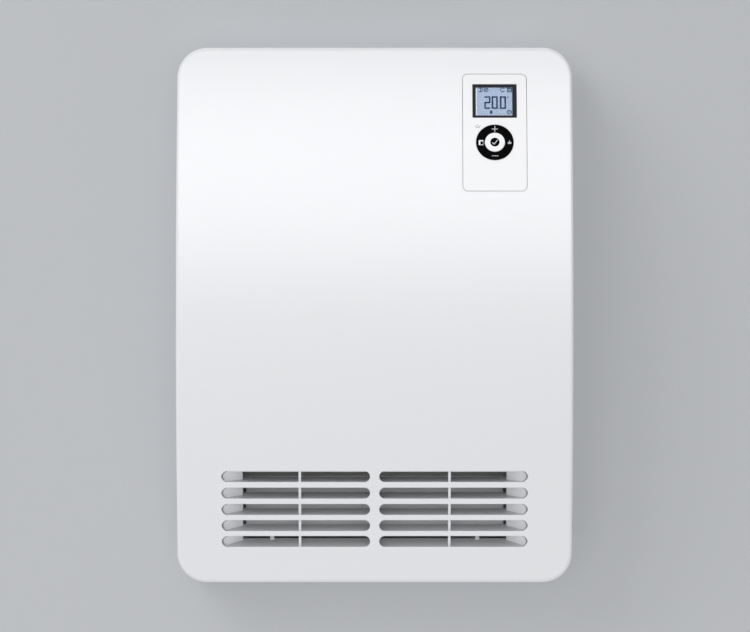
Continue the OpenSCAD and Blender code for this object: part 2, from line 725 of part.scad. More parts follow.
module cable_grommet() {
    color("dimgray") difference() {
        union() {
            rod_y(-tray_back, -tray_back + 2, grommet_flange, cable_at[0], cable_at[1]);
            rod_y(tray_in - eps, -tray_back + eps, grommet_waist, cable_at[0], cable_at[1]);
            rod_y(tray_in - 2, tray_in, grommet_flange, cable_at[0], cable_at[1]);
        }
        rod_y(tray_in - 4, 0, cable_r, cable_at[0], cable_at[1]);
    }
}
module terminal_block() {
    color("ivory") translate([terminal_at[0], tray_in - skin, terminal_at[1]]) difference() {
        translate([-terminal_size[0] / 2, -terminal_size[1], -terminal_size[2] / 2])
            cube(terminal_size);
        for (i = [-1.5:1:1.5], s = [-1, 1]) translate([i * 10, -terminal_size[1] + 9, s * 6])
            rotate([90, 0, 0]) cylinder(r = 2.4, h = 12);
    }
}
board_y = tray_in - power_post - skin;
module power_board() {
    color("darkgreen") difference() {
        translate([power_mid[0], 0, power_mid[1]]) front_prism(board_y - board_t, board_y)
            square(power_size, center = true);
        for (p = board_screws_at)
            rod_y(board_y - board_t - 1, board_y + 1, board_screw_r + 0.2, p[0], p[1]);
    }
}
module pan_screws(places, r, head_y, end_y) {
    color("silver") for (p = places) {
        rod_y(head_y - 1.2 * r, end_y, r, p[0], p[1]);
        difference() {
            rod_y(head_y - 1.4 * r, head_y, 2 * r, p[0], p[1]);
            for (a = [0, 90]) translate([p[0], head_y - 1.4 * r, p[1]]) rotate([0, a, 0])
                cube([2.4 * r, 1.2 * r, 0.5 * r], center = true);
        }
    }
}
module board_screws() {
    pan_screws(board_screws_at, board_screw_r, board_y - board_t - skin, tray_in);
}
module fan_screws() {
    pan_screws(foot_screws_at, foot_screw_r, -post_reach - end_t - skin, -tray_back - 1.2);
}
// leads end on the power board, right of its left edge and above its lower edge
function lead_end(x, z) = [[board_left + x, lead_y - 4, board_low + z],
    [board_left + x, parts_y, board_low + z]];
board_left = power_mid[0] - power_size[0] / 2;
board_low = power_mid[1] - power_size[1] / 2;
last_x = power_size[0] - 14;
module supply_leads() {
    color("firebrick") for (i = [0:2]) wire(concat(
        [[terminal_at[0] - 5 + i * 10, lead_y, terminal_at[1] + terminal_size[2] / 2 + fit],
        [terminal_at[0] - 5 + i * 10, lead_y, board_low + 6 + i * 6]],
        lead_end(last_x, 14 + i * 6)), 1.2);
}
module element_leads() {
    color("peru") for (i = [0, 1]) wire(concat([element_post(i) - [end_x + 9, 0, 0],
        [-end_x - 20, element_post(i)[1], element_post(i)[2]],
        [-end_x - 22, lead_y - 11 + i * 5, fan_z + 36],
        [-end_x - 22, lead_y - 11 + i * 5, board_low - 7]],
        lead_end(38 - i * 8, 6)), 1.4);
}
module motor_leads() {
    color("lightblue") for (i = [0, 1]) wire(concat([
        [core_x[0] + 6 + i * 6, fan_y, fan_z + core_high + 6 + skin],
        [core_x[0] + 6 + i * 6, fan_y, fan_z + core_high + 14],
        [core_x[0] + 14 + i * 4, lead_y - 2, fan_z + 76],
        [core_x[0] + 14 + i * 4, lead_y - 2, board_low + 23 + i * 5]],
        lead_end(last_x, 29 + i * 5)), 1);
}
module switch_leads() {
    color("chocolate") for (i = [0, 1]) wire([
        [body_w / 2 - switch_deep - 7 - 2 * fit, switch_y, switch_z - 6 + 12 * i],
        [body_w / 2 - switch_deep - 9, switch_y + 1, switch_z - 6 + 12 * i],
        [body_w / 2 - 11, lead_y - 1 - i * 4, switch_z + 28],
        [body_w / 2 - 11, lead_y - 1 - i * 4, terminal_at[1] - 19 - i * 4],
        [terminal_at[0] + 15 - i * 10, lead_y - 1 - i * 4, terminal_at[1] - 19 - i * 4],
        [terminal_at[0] + 15 - i * 10, lead_y, terminal_at[1] - terminal_size[2] / 2 - 2 * fit]],
        1.2);
}
// the cable exit of the control carrier, at depth d under the panel
function exit_at(d) = [panel_x, bow_y(bow_z(panel_s)), bow_z(panel_s)]
    - exit_down * [0, sin(bow_angle(panel_s)), cos(bow_angle(panel_s))]
    + d * [0, cos(bow_angle(panel_s)), -sin(bow_angle(panel_s))];
exit_down = 20;
module display_cable() {
    color("gray") wire(concat([exit_at(board_top + board_t + skin), exit_at(carrier_deep + 4),
        [panel_x, lead_y - 14, board_low - 15], [panel_x - 45, lead_y - 14, board_low + 45]],
        lead_end(last_x, 47)), 2);
}
module sensor_leads() {
    color("black") for (i = [0, 1]) wire([
        [sensor_x + 3 + i * 3, filter_y, rack_low - 5 - 2 * skin],
        [sensor_x + 3 + i * 3, filter_y, rack_low - 8],
        [sensor_x + 3 + i * 3, lead_y - 4, board_low + power_size[1] - 4],
        [sensor_x + 3 + i * 3, parts_y, board_low + power_size[1] - 4]], 0.6);
}
parts_y = board_y - board_t - skin;
relay_size = [19, 15.5, 15.5];
relay_at = [-50, -22];
relay_step = 24;
module power_relays() {
    color("royalblue") for (i = [0, 1])
        translate([power_mid[0] + relay_at[0] + i * relay_step, parts_y - relay_size[1],
            power_mid[1] + relay_at[1]]) cube(relay_size);
}
capacitor_at = [12, 6];
capacitor_step = 18;
capacitor_r = [7, 5];
capacitor_l = [18, 12];
module board_capacitors() {
    color("darkslategray") for (i = [0, 1])
        rod_y(parts_y - capacitor_l[i], parts_y, capacitor_r[i],
            power_mid[0] + capacitor_at[0] + i * capacitor_step, power_mid[1] + capacitor_at[1]);
}
sensor_x = 20 - filter_l / 2;
module room_sensor() {
    color("black") {
        rod_x(sensor_x, sensor_x + 12, 2.5, filter_y, rack_low - 2.5 - skin);
        block([sensor_x + 3, filter_y - filter_w / 2, rack_low - 1 - skin],
            [sensor_x + 9, filter_y + filter_w / 2, rack_low - skin]);
    }
}

// ---------------------------------------------------------------- control panel

module control_panel() {
    color("white") intersection() {
        difference() {
            under_bow(0);
            under_bow(panel_t);
        }
        difference() {
            on_bow(panel_x, panel_s) translate([0, 0, -12]) linear_extrude(20)
                rounded_rect(panel_w, panel_h, panel_r);
            on_bow(panel_x, display_s) translate([0, 0, -14]) linear_extrude(24)
                square([display_w, display_h], center = true);
            on_bow(panel_x, keys_s) translate([0, 0, -14])
                cylinder(r = ring_r + key_gap / 2, h = 24);
        }
    }
}
box_w = panel_w - 1;
box_h = panel_h - 1;
module control_carrier() {
    color("whitesmoke") difference() {
        union() {
            // box behind the panel
            intersection() {
                under_bow(panel_t + skin);
                on_bow(panel_x, panel_s) translate([0, 0, -carrier_deep])
                    linear_extrude(carrier_deep) rounded_rect(box_w, box_h, panel_r);
            }
            // lip behind the casing's opening
            intersection() {
                difference() {
                    under_bow(wall + fit);
                    under_bow(wall + fit + lip_t);
                }
                on_bow(panel_x, panel_s) translate([0, 0, -carrier_deep])
                    linear_extrude(carrier_deep) rounded_rect(box_w + 2 * carrier_lip,
                        box_h + 2 * carrier_lip, panel_r + carrier_lip);
            }
        }
        on_bow(panel_x, panel_s) difference() {
            translate([0, 0, -carrier_deep + carrier_wall]) linear_extrude(carrier_deep + 5)
                rounded_rect(box_w - 2 * carrier_wall, box_h - 2 * carrier_wall,
                    panel_r - carrier_wall);
            for (sx = [-1, 1], sy = [-1, 1])
                translate([sx * (board_w / 2 - 4), sy * (board_h / 2 - 4),
                    -carrier_deep]) cylinder(r = 2.5, h = carrier_wall + board_post);
        }
        // cable exit
        on_bow(panel_x, panel_s) translate([0, -exit_down, -carrier_deep - 1])
            linear_extrude(carrier_wall + 2) square([24, 8], center = true);
    }
}
board_w = box_w - 2 * carrier_wall - 2 * fit;
board_h = box_h - 2 * carrier_wall - 2 * fit;
module display_board() {
    color("darkgreen") on_bow(panel_x, panel_s) translate([0, 0, -board_top - board_t])
        linear_extrude(board_t) rounded_rect(board_w, board_h, panel_r - carrier_wall);
}
// the five key places, as [x, y] in the frame of the keys
key_mid = (ring_r + ok_r) / 2;
key_places = [[0, 0], [0, key_mid], [0, -key_mid], [-key_mid, 0], [key_mid, 0]];
mat_low = mat_top + mat_t;
module tact_switches() {
    color("gray") on_bow(panel_x, keys_s) for (p = key_places)
        translate([p[0], p[1], -board_top + fit + skin])
            linear_extrude(board_top - 2 * fit - mat_low) square(3.6, center = true);
}
module key_mat() {
    color("lightgray") on_bow(panel_x, keys_s) {
        translate([0, 0, -mat_low + skin]) linear_extrude(mat_t - skin)
            rounded_rect(2 * ring_r + 8, 2 * ring_r + 8, 4);
    }
}
lcd_w = display_w - 2.4;
lcd_h = display_h - 2.4;
bezel_deep = 3.2;
lcd_t = 3;
module lcd_module() {
    color("steelblue") {
        on_bow(panel_x, display_s) translate([0, 0, -bezel_deep - skin - lcd_t])
            linear_extrude(lcd_t) square([lcd_w, lcd_h], center = true);
        // feet down to the board
        on_bow(panel_x, panel_s) for (s = [-1, 1])
            translate([0, display_up + s * (lcd_h / 2 - 3), -board_top + skin])
                linear_extrude(board_top - skin - bezel_deep - 2.6)
                square([lcd_w - 8, 1.4], center = true);
    }
}
module display_bezel() {
    color("black") intersection() {
        under_bow(0.15);
        on_bow(panel_x, display_s) translate([0, 0, -bezel_deep]) linear_extrude(6)
            difference() {
                square([display_w - 2 * skin, display_h - 2 * skin], center = true);
                translate([-0.5, -0.4]) square([display_w - 6.8, display_h - 5], center = true);
            }
    }
}
module display_lens() {
    color("lightblue", 0.5) on_bow(panel_x, display_s) translate([-0.5, -0.4, -1.9])
        linear_extrude(1) square([display_w - 6.8 - 2 * skin, display_h - 5 - 2 * skin],
            center = true);
}
// one quarter of the ring, round the angle a
module ring_key(a) {
    color("black") on_bow(panel_x, keys_s) rotate(a) {
        translate([0, 0, -flange_top]) linear_extrude(flange_top + key_proud)
            quarter(ok_r + key_gap, ring_r);
        translate([0, 0, -flange_top - flange_t]) linear_extrude(flange_t + eps)
            quarter(ok_r + key_gap, ring_r + flange_lip);
        translate([key_mid, 0, -key_foot]) cylinder(r = 2, h = key_foot - flange_top);
    }
}
flange_top = panel_t + fit + 0.35;      // the bow falls away by 0.35 across the ring
ok_lip = flange_top + flange_t + key_travel + fit;
module quarter(r0, r1) {
    difference() {
        intersection() {
            circle(r1);
            translate([key_gap / 2 * sqrt(2), 0])
                polygon([[0, 0], [2 * r1, -2 * r1], [2 * r1, 2 * r1]]);
        }
        circle(r0);
    }
}
module right_key() { ring_key(0); }
module plus_key() { ring_key(90); }
module left_key() { ring_key(180); }
module menu_key() { ring_key(270); }
module ok_key() {
    color("white") on_bow(panel_x, keys_s) {
        translate([0, 0, -ok_lip - flange_t]) cylinder(r = ok_r, h = ok_lip + flange_t
            + key_proud + 0.1);
        translate([0, 0, -ok_lip - flange_t]) cylinder(r = ok_r + key_gap + flange_lip,
            h = flange_t);
    }
}

// ---------------------------------------------------------------- mains switch

module on_switch() { translate([body_w / 2, switch_y, switch_z]) children(); }
module switch_body() {
    color("black") on_switch() difference() {
        union() {
            translate([fit / 3, -switch_w / 2 - bezel_lip, -switch_h / 2 - bezel_lip])
                cube([bezel_t, switch_w + 2 * bezel_lip, switch_h + 2 * bezel_lip]);
            translate([-switch_deep, -switch_w / 2, -switch_h / 2])
                cube([switch_deep + fit / 3 + eps, switch_w, switch_h]);
            for (z = [-6, 6]) translate([-switch_deep - 7, -2.4, z - 0.4])
                cube([7 + eps, 4.8, 0.8]);
        }
        translate([-rocker_well, -rocker_w / 2 - fit, -rocker_h / 2 - fit])
            cube([rocker_well + 12, rocker_w + 2 * fit, rocker_h + 2 * fit]);
        translate([rocker_pivot, 0, 0]) rotate([90, 0, 0])
            cylinder(r = rocker_pin + run_gap, h = rocker_w + 2 * fit + 1.8, center = true);
    }
}
rocker_pin = 1.2;
rocker_w = switch_w - 3;
rocker_h = switch_h - 3;
rocker_pivot = -4.8;                // the raised end stays behind the bezel's face
rocker_well = 10;                   // the rocker's pocket is this deep
module rocker() {
    // two flats that meet in a shallow V, on a round heel
    half = rocker_h / 2;
    color("black") on_switch() translate([rocker_pivot, 0, 0]) rotate([0, rocker_tilt, 0]) {
        translate([0, rocker_w / 2, 0]) rotate([90, 0, 0]) linear_extrude(rocker_w)
            polygon([[5.2, -half + 1.2], [4.2, 0], [5.2, half - 1.2], [3.6, half - 0.6],
                [-3, 3], [-3, -3], [3.6, -half + 0.6]]);
        rotate([90, 0, 0]) cylinder(r = rocker_pin, h = rocker_w + 2 * fit + 1.4, center = true);
    }
}

// ---------------------------------------------------------------- filter

rack_low = body_h / 2 - cassette_h - skin - rack_ledge;
module filter_rack() {
    color("whitesmoke") translate([0, filter_y, 0]) difference() {
        translate([0, 0, rack_low])
            linear_extrude(body_h / 2 - wall - fit - rack_low)
            square([filter_l + 2 * rack_wall, filter_w + 2 * rack_wall], center = true);
        translate([0, 0, rack_low + rack_ledge])
            linear_extrude(cassette_h + 5) square([filter_l, filter_w], center = true);
        translate([0, 0, rack_low - 1]) linear_extrude(5)
            square([filter_l - 6, filter_w - 6], center = true);
    }
}
bars = 5;
bar_t = 2;
frame_t = 1.8;
frame_low = body_h / 2 - cassette_h;
mesh_z = body_h / 2 - 12;
frame_l = filter_l - 2 * fit;
frame_w = filter_w - 2 * fit;
module filter_frame() {
    color("whitesmoke") translate([0, filter_y, 0]) {
        difference() {
            translate([0, 0, frame_low]) linear_extrude(cassette_h)
                square([frame_l, frame_w], center = true);
            translate([0, 0, frame_low - 1]) linear_extrude(cassette_h + 2)
                square([frame_l - 2 * frame_t, frame_w - 2 * frame_t], center = true);
        }
        // grille bars along the cassette, with cross webs
        bar_step = (frame_w - 2 * frame_t) / bars;
        for (i = [1:bars - 1])
            translate([0, -frame_w / 2 + frame_t + i * bar_step, body_h / 2 - 3])
                linear_extrude(3) square([frame_l - frame_t, bar_t], center = true);
        for (x = [-3:3]) translate([x * frame_l / 7.4, 0, body_h / 2 - 4])
            linear_extrude(3) square([1.6, frame_w - frame_t], center = true);
    }
}
net_x = 32;
net_y = 6;
net_wire = 0.8;
module filter_mesh() {
    net_l = frame_l - 2 * frame_t - 2 * skin;
    net_w = frame_w - 2 * frame_t - 2 * skin;
    color("gray") translate([0, filter_y, mesh_z]) linear_extrude(0.6) difference() {
        square([net_l, net_w], center = true);
        for (i = [0:net_x - 1], j = [0:net_y - 1])
            translate([(i + 0.5 - net_x / 2) * (net_l - 2) / net_x,
                (j + 0.5 - net_y / 2) * (net_w - 1.5) / net_y])
                square([(net_l - 2) / net_x - net_wire, (net_w - 1.5) / net_y - net_wire],
                    center = true);
    }
}

// ---------------------------------------------------------------- nodes

front_casing();
rear_casing();
wall_bracket();
cover_screws();
outlet_grille();
scroll_plate();
tongue_plate();
fan_end(-1);  // fan_end_left
fan_end(1);  // fan_end_right
impeller();
motor_shaft();
stub_shaft();
motor_rotor();
motor_core();
motor_coil();
motor_bridge_inner();
motor_bridge_outer();
motor_bearings();
motor_screws();
end_bearing();
bearing_cushion();
element_frame();
mica_strips();
heating_ribbons();
thermal_cutout();
cable_grommet();
terminal_block();
power_board();
power_relays();
board_capacitors();
control_panel();
control_carrier();
display_board();
tact_switches();
key_mat();
lcd_module();
display_bezel();
display_lens();
plus_key();
menu_key();
left_key();
right_key();
ok_key();
switch_body();
rocker();
filter_rack();
filter_frame();
filter_mesh();
room_sensor();
fan_screws();
board_screws();
element_posts();
supply_leads();
element_leads();
motor_leads();
switch_leads();
display_cable();
sensor_leads();
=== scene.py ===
"""A wall-hung bathroom fan heater, finished over its CAD frame."""

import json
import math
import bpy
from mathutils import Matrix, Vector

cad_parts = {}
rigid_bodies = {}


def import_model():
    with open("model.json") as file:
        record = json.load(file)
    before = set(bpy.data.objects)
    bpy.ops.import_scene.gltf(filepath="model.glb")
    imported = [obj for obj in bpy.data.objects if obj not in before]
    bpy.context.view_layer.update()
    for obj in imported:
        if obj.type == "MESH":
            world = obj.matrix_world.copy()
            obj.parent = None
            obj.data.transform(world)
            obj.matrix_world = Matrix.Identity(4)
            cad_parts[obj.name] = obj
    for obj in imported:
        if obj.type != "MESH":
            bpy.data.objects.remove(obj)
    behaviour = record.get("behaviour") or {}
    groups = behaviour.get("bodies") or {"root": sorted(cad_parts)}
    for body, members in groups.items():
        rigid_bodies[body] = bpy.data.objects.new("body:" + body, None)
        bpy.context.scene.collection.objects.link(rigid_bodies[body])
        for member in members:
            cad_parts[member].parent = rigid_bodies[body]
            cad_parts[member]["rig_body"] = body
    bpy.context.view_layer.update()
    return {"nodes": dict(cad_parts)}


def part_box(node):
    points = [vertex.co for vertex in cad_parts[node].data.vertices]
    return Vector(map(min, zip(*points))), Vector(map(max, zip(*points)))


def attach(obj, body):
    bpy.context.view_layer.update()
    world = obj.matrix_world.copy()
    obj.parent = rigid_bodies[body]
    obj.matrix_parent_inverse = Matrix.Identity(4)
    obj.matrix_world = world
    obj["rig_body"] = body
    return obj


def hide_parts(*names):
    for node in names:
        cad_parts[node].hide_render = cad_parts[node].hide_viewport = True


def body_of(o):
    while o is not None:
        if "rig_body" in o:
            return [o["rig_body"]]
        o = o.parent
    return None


bl_info = {
    "name": "Bathroom wall fan heater",
    "version": (1, 0, 0),
    "blender": (4, 5, 0),
    "location": "3D View > Sidebar > Heater",
    "description": "Finishes the casing, control panel, outlet and inner parts of a fan heater",
    "category": "Object",
}

import bmesh
import bpy
from bpy.props import FloatProperty, FloatVectorProperty, IntProperty, PointerProperty
from mathutils import Matrix, Vector

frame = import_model()

MM = 0.001
TINY = 1e-6                 # points closer than this are one
NEAR = 0.1 * MM             # a point this close to a line counts as on it
FIT = 0.3 * MM              # gap between pieces that seat in each other
INK = 0.03 * MM             # thickness of a printed stroke
SKIN = 0.005 * MM           # gap between a printed mark and what it lies on
GRAIN = 0.05 * MM           # height of the grain in a surface
SHARP = math.radians(32)    # edges sharper than this stay crisp
HEATER = "heater_body"
PHOTO_WIDTH = 750           # pixels


# ---------------------------------------------------------------- settings


def length(name, description, default, low, high):
    """A length, given in millimetres and kept in metres."""
    return FloatProperty(
        name=name, description=description, default=default * MM, min=low * MM, max=high * MM,
        precision=5, unit="LENGTH", subtype="DISTANCE",
    )


def factor(name, description, default, high):
    """A strength, as a share of one."""
    return FloatProperty(name=name, description=description, default=default, min=0, max=high,
                         subtype="FACTOR")


def power(name, lamp, default, high):
    """A lamp's power, in watts."""
    return FloatProperty(name=name, description=f"Power of {lamp}", default=default, min=0,
                         max=high)


def tone(name, description, red, green, blue):
    """A colour given as it shows on a screen, from 0 to 255."""
    return FloatVectorProperty(
        name=name, description=description, size=3, min=0, max=1, subtype="COLOR",
        default=[linear(part / 255) for part in (red, green, blue)],
    )


def linear(part):
    """One part of a screen colour, from 0 to 1, as light."""
    return part / 12.92 if part <= 0.04045 else ((part + 0.055) / 1.055) ** 2.4


class CasingSettings(bpy.types.PropertyGroup):
    depth: length("Depth", "From the wall to the crown of the bowed front", 120, 100, 150)
    bow_drop: length("Bow drop", "How far the upper and lower edges lie behind the crown", 60, 40, 80)
    corner: length("Corner radius", "Radius of the corners, seen from the front", 26, 10, 40)
    edge: length("Edge radius", "Rounding of the front edge", 3, 1, 6)
    wall: length("Wall", "Thickness of the moulding", 2.6, 1, 4)
    white: tone("White", "Colour of the casing", 236, 237, 239)


class OutletSettings(bpy.types.PropertyGroup):
    rows: IntProperty(name="Rows", description="Rows of slots", default=5, min=1, max=8)
    slot_height: length("Slot height", "Height of one slot", 9.6, 4, 14)
    slot_side: length("Side margin", "From the casing's side to a slot's outer end", 39.3, 20, 60)
    slot_gap: length("Middle bar", "Bar between the left and right slots", 8.2, 4, 20)
    slot_pitch: length("Pitch", "Step from row to row along the bow", 15.3, 12, 20)
    slot_up: length("Height", "Middle of the rows, up the bow from its lower edge", 71.4, 50, 90)
    slot_edge: length("Slot edge", "Rounding of a slot's front edge", 0.4, 0.1, 1)
    slot_draft: length("End draft", "How far a slot's outer end slopes in through the wall", 1.1, 0, 2)
    blade_edge: length("Blade edge", "Rounding of the blades' edges", 0.35, 0.1, 0.7)


class PanelSettings(bpy.types.PropertyGroup):
    side: length("Side", "From the casing's right side to the panel's middle", 68, 50, 90)
    down: length("Down", "Middle of the panel, down the bow from its upper edge", 81.4, 70, 100)
    width: length("Width", "Width of the panel", 55.8, 40, 80)
    height: length("Height", "Height of the panel along the bow", 109.3, 80, 140)
    corner: length("Corner radius", "Radius of the panel's corners", 4.5, 1, 10)
    thick: length("Thickness", "Thickness of the panel", 2, 1, 3)
    rim: length("Edge", "Rounding of the panel's front edges", 0.3, 0.1, 0.6)
    white: tone("White", "Colour of the panel", 242, 242, 243)


class DisplaySettings(bpy.types.PropertyGroup):
    up: length("Up", "From the panel's middle up to the display's middle", 28.7, 20, 40)
    width: length("Width", "Width of the black frame", 38.8, 30, 50)
    height: length("Height", "Height of the black frame", 32.2, 20, 40)
    glow: tone("Glow", "Colour of the lit liquid crystal", 167, 181, 206)
    segment: tone("Segments", "Colour of a segment that is on", 42, 56, 88)
    strength: factor("Strength", "How strongly the display is lit", 1.0, 4)


class KeySettings(bpy.types.PropertyGroup):
    down: length("Down", "From the panel's middle down to the keys' middle", 10.4, 5, 20)
    ring: length("Ring", "Outer radius of the ring of keys", 16.25, 12, 20)
    middle: length("Middle key", "Radius of the round key", 8.75, 5, 10)
    proud: length("Proud", "How far the keys stand out", 0.5, 0.1, 1)
    dot: length("Dot", "Radius of the black dot on the round key", 4.05, 2, 6)
    black: tone("Black", "Colour of the ring", 5, 5, 6)
    mark: tone("Marks", "Colour of the marks on the ring", 236, 238, 240)


class StudioSettings(bpy.types.PropertyGroup):
    distance: length("Camera distance", "From the wall to the camera", 5620, 1000, 20000)
    scale: FloatProperty(name="Millimetres per pixel", description="Scale at the crown of the bow",
                         default=0.8696, min=0.1, max=5)
    sheen: power("Sheen", "the softbox that only the gloss shows", 54, 400)
    key: power("Key", "the large lamp at the upper left", 36, 400)
    front: power("Front", "the wide matt light before the heater", 44, 400)
    low: power("Low", "the lamp under the heater", 2.5, 200)
    back: power("Back", "the lamp behind the wall", 50, 200)
    sky: factor("Sky", "Strength of the even light of the room", 0.6, 2)
    backdrop: tone("Backdrop", "Colour of the wall and the floor", 196, 198, 201)


SETTINGS = {
    "heater_casing": CasingSettings,
    "heater_outlet": OutletSettings,
    "heater_panel": PanelSettings,
    "heater_display": DisplaySettings,
    "heater_keys": KeySettings,
    "heater_studio": StudioSettings,
}


# ---------------------------------------------------------------- the bowed front


class Bow:
    """The cylinder along X that the casing's front follows."""

    def __init__(self, scene):
        casing = scene.heater_casing
        low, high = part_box("front_casing")
        self.width = 2 * max(high.x, -low.x)
        self.height = 2 * round(high.z, 3)
        half = self.height / 2
        self.radius = (half ** 2 + casing.bow_drop ** 2) / (2 * casing.bow_drop)
        self.axis_y = self.radius - casing.depth
        self.edge = self.radius * math.asin(half / self.radius)

    def y(self, z, under=0.0):
        """Y of the bow at a height, or of a point that lies so far under it."""
        return self.axis_y - math.sqrt((self.radius - under) ** 2 - z * z)

    def z(self, along):
        """Height of a point that lies so far up the bow from its crown."""
        return self.radius * math.sin(along / self.radius)

    def place(self, x, along, under=0.0):
        """A place on the bow, with its Y up the bow and its Z outwards."""
        angle = along / self.radius
        out = Vector((0, -math.cos(angle), math.sin(angle)))
        up = Vector((0, math.sin(angle), math.cos(angle)))
        at = Vector((x, self.y(self.z(along)), self.z(along))) - under * out
        turn = Matrix((Vector((1, 0, 0)), up, out)).transposed().to_4x4()
        return Matrix.Translation(at) @ turn


def slot_rows(scene, bow):
    """Heights of the middles of the slot rows, from the top down."""
    outlet = scene.heater_outlet
    middle = bow.edge - outlet.slot_up
    return [-bow.z(middle + (row - (outlet.rows - 1) / 2) * outlet.slot_pitch)
            for row in range(outlet.rows)]


def panel_place(scene, bow):
    """X and place along the bow of the control panel's middle."""
    panel = scene.heater_panel
    return bow.width / 2 - panel.side, bow.edge - panel.down


# ---------------------------------------------------------------- mesh helpers


def rounded_block(size, radius, steps, centre=(0, 0), top=0.0):
    """A block from top downwards, with its four upright edges rounded."""
    bm = bmesh.new()
    bmesh.ops.create_cube(bm, size=1)
    bmesh.ops.scale(bm, vec=size, verts=bm.verts)
    bmesh.ops.translate(bm, vec=(centre[0], centre[1], top - size[2] / 2), verts=bm.verts)
    upright = [edge for edge in bm.edges
               if abs(edge.verts[0].co.z - edge.verts[1].co.z) > size[2] / 2]
    bmesh.ops.bevel(bm, geom=upright, offset=radius, offset_type="OFFSET", segments=steps,
                    profile=0.5, affect="EDGES", material=-1)
    bmesh.ops.remove_doubles(bm, verts=bm.verts, dist=TINY)
    return bm


def disc(radius, thick, steps, centre=(0, 0), top=0.0):
    """A round plate from top downwards."""
    bm = bmesh.new()
    bmesh.ops.create_cone(bm, cap_ends=True, segments=steps, radius1=radius, radius2=radius,
                          depth=thick)
    bmesh.ops.translate(bm, vec=(centre[0], centre[1], top - thick / 2), verts=bm.verts)
    return bm


def line_of(bm, points, closed=True):
    """A line of points joined by edges, for an operator to sweep: its points and its edges."""
    verts = [bm.verts.new(point) for point in points]
    ends = verts[1:] + verts[:1] if closed else verts[1:]
    return verts, [bm.edges.new(pair) for pair in zip(verts, ends)]


def new_verts(made):
    """The points among what an extrusion made."""
    return [part for part in made["geom"] if isinstance(part, bmesh.types.BMVert)]


def everything(bm):
    return bm.verts[:] + bm.edges[:] + bm.faces[:]


def join(*parts):
    """One mesh from several, which are used up."""
    whole = bmesh.new()
    for part in parts:
        mesh = bpy.data.meshes.new("part")
        part.to_mesh(mesh)
        part.free()
        whole.from_mesh(mesh)
        bpy.data.meshes.remove(mesh)
    return whole


def moved(bm, matrix):
    """The same mesh in its new place."""
    bmesh.ops.transform(bm, matrix=matrix, verts=bm.verts)
    return bm


def cut(bm, tool):
    """What is left of the first shape once the second is cut away."""
    made = []
    for name, part in (("body", bm), ("tool", tool)):
        mesh = bpy.data.meshes.new(name)
        part.to_mesh(mesh)
        part.free()
        thing = bpy.data.objects.new(name, mesh)
        bpy.context.scene.collection.objects.link(thing)
        made.append(thing)
    boolean = made[0].modifiers.new("Cut", "BOOLEAN")
    boolean.operation = "DIFFERENCE"
    boolean.solver = "EXACT"
    boolean.object = made[1]
    shown = made[0].evaluated_get(bpy.context.evaluated_depsgraph_get())
    left = bmesh.new()
    left.from_mesh(shown.to_mesh())
    shown.to_mesh_clear()
    for thing in made:
        mesh = thing.data
        bpy.data.objects.remove(thing)
        bpy.data.meshes.remove(mesh)
    bmesh.ops.remove_doubles(left, verts=left.verts, dist=TINY)
    return left


def slice_rows(bm, height, step):
    """Cuts a plate's faces at even steps of its height, so that they can follow the bow."""
    count = max(2, round(height / step))
    for number in range(1, count):
        bmesh.ops.bisect_plane(bm, geom=everything(bm), dist=1e-7, plane_no=(0, 1, 0),
                               plane_co=(0, height * number / count - height / 2, 0))


def front_rims(bm, level=0.0, wanted=None):
    """Edges in the plane z = level where the front turns into a wall, or those at wanted places."""
    rims = []
    for edge in bm.edges:
        if len(edge.link_faces) != 2 or any(abs(v.co.z - level) > TINY for v in edge.verts):
            continue
        slopes = sorted(face.normal.z for face in edge.link_faces)
        middle = (edge.verts[0].co + edge.verts[1].co) / 2
        if slopes[0] < 0.5 < slopes[1] and (wanted is None or wanted(middle)):
            rims.append(edge)
    return rims


def round_edges(bm, edges, radius, steps):
    """Rounds the edges, where there are any."""
    if edges:
        bmesh.ops.bevel(bm, geom=edges, offset=radius, offset_type="OFFSET", segments=steps,
                        profile=0.5, affect="EDGES", material=-1)


def lay_on_bow(bm, bow, x, along):
    """Bends a flat plate, whose front is z = 0, on to the bow at x and along."""
    for vert in bm.verts:
        z = bow.z(along + vert.co.y)
        vert.co = Vector((x + vert.co.x, bow.y(z, -vert.co.z), z))
    return bm


def piece(name, bm, finish, body=HEATER, weighted=True):
    """Makes a mesh into a piece of the heater that rides on a body."""
    bmesh.ops.recalc_face_normals(bm, faces=bm.faces)
    mesh = bpy.data.meshes.new(name)
    bm.to_mesh(mesh)
    bm.free()
    mesh.polygons.foreach_set("use_smooth", [True] * len(mesh.polygons))
    mesh.set_sharp_from_angle(angle=SHARP)
    mesh.materials.append(finish)
    thing = bpy.data.objects.new(name, mesh)
    bpy.context.scene.collection.objects.link(thing)
    if weighted:
        weigh_normals(thing)
    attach(thing, body)
    return thing


def weigh_normals(thing):
    """Lets large flat faces keep their shading next to small rounded edges."""
    weights = thing.modifiers.new("Even shading", "WEIGHTED_NORMAL")
    weights.keep_sharp = True
    weights.weight = 60


def softened(node, radius):
    """A copy of a CAD node with its crisp edges rounded, which stands in for it."""
    flat, crisp = math.radians(0.6), math.radians(35)
    source = bpy.data.objects[node]
    bm = bmesh.new()
    bm.from_mesh(source.data)
    bmesh.ops.remove_doubles(bm, verts=bm.verts, dist=2 * TINY)
    bmesh.ops.dissolve_limit(bm, angle_limit=flat, verts=bm.verts, edges=bm.edges)
    thing = piece(f"{node}_finished", bm, source.material_slots[0].material,
                  body_of(source)[0], weighted=False)
    bevel = thing.modifiers.new("Rounded edges", "BEVEL")
    bevel.width = radius
    bevel.segments = 2
    bevel.limit_method = "ANGLE"
    bevel.angle_limit = crisp
    bevel.harden_normals = True
    bevel.use_clamp_overlap = True
    weigh_normals(thing)
    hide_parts(node)
    return thing


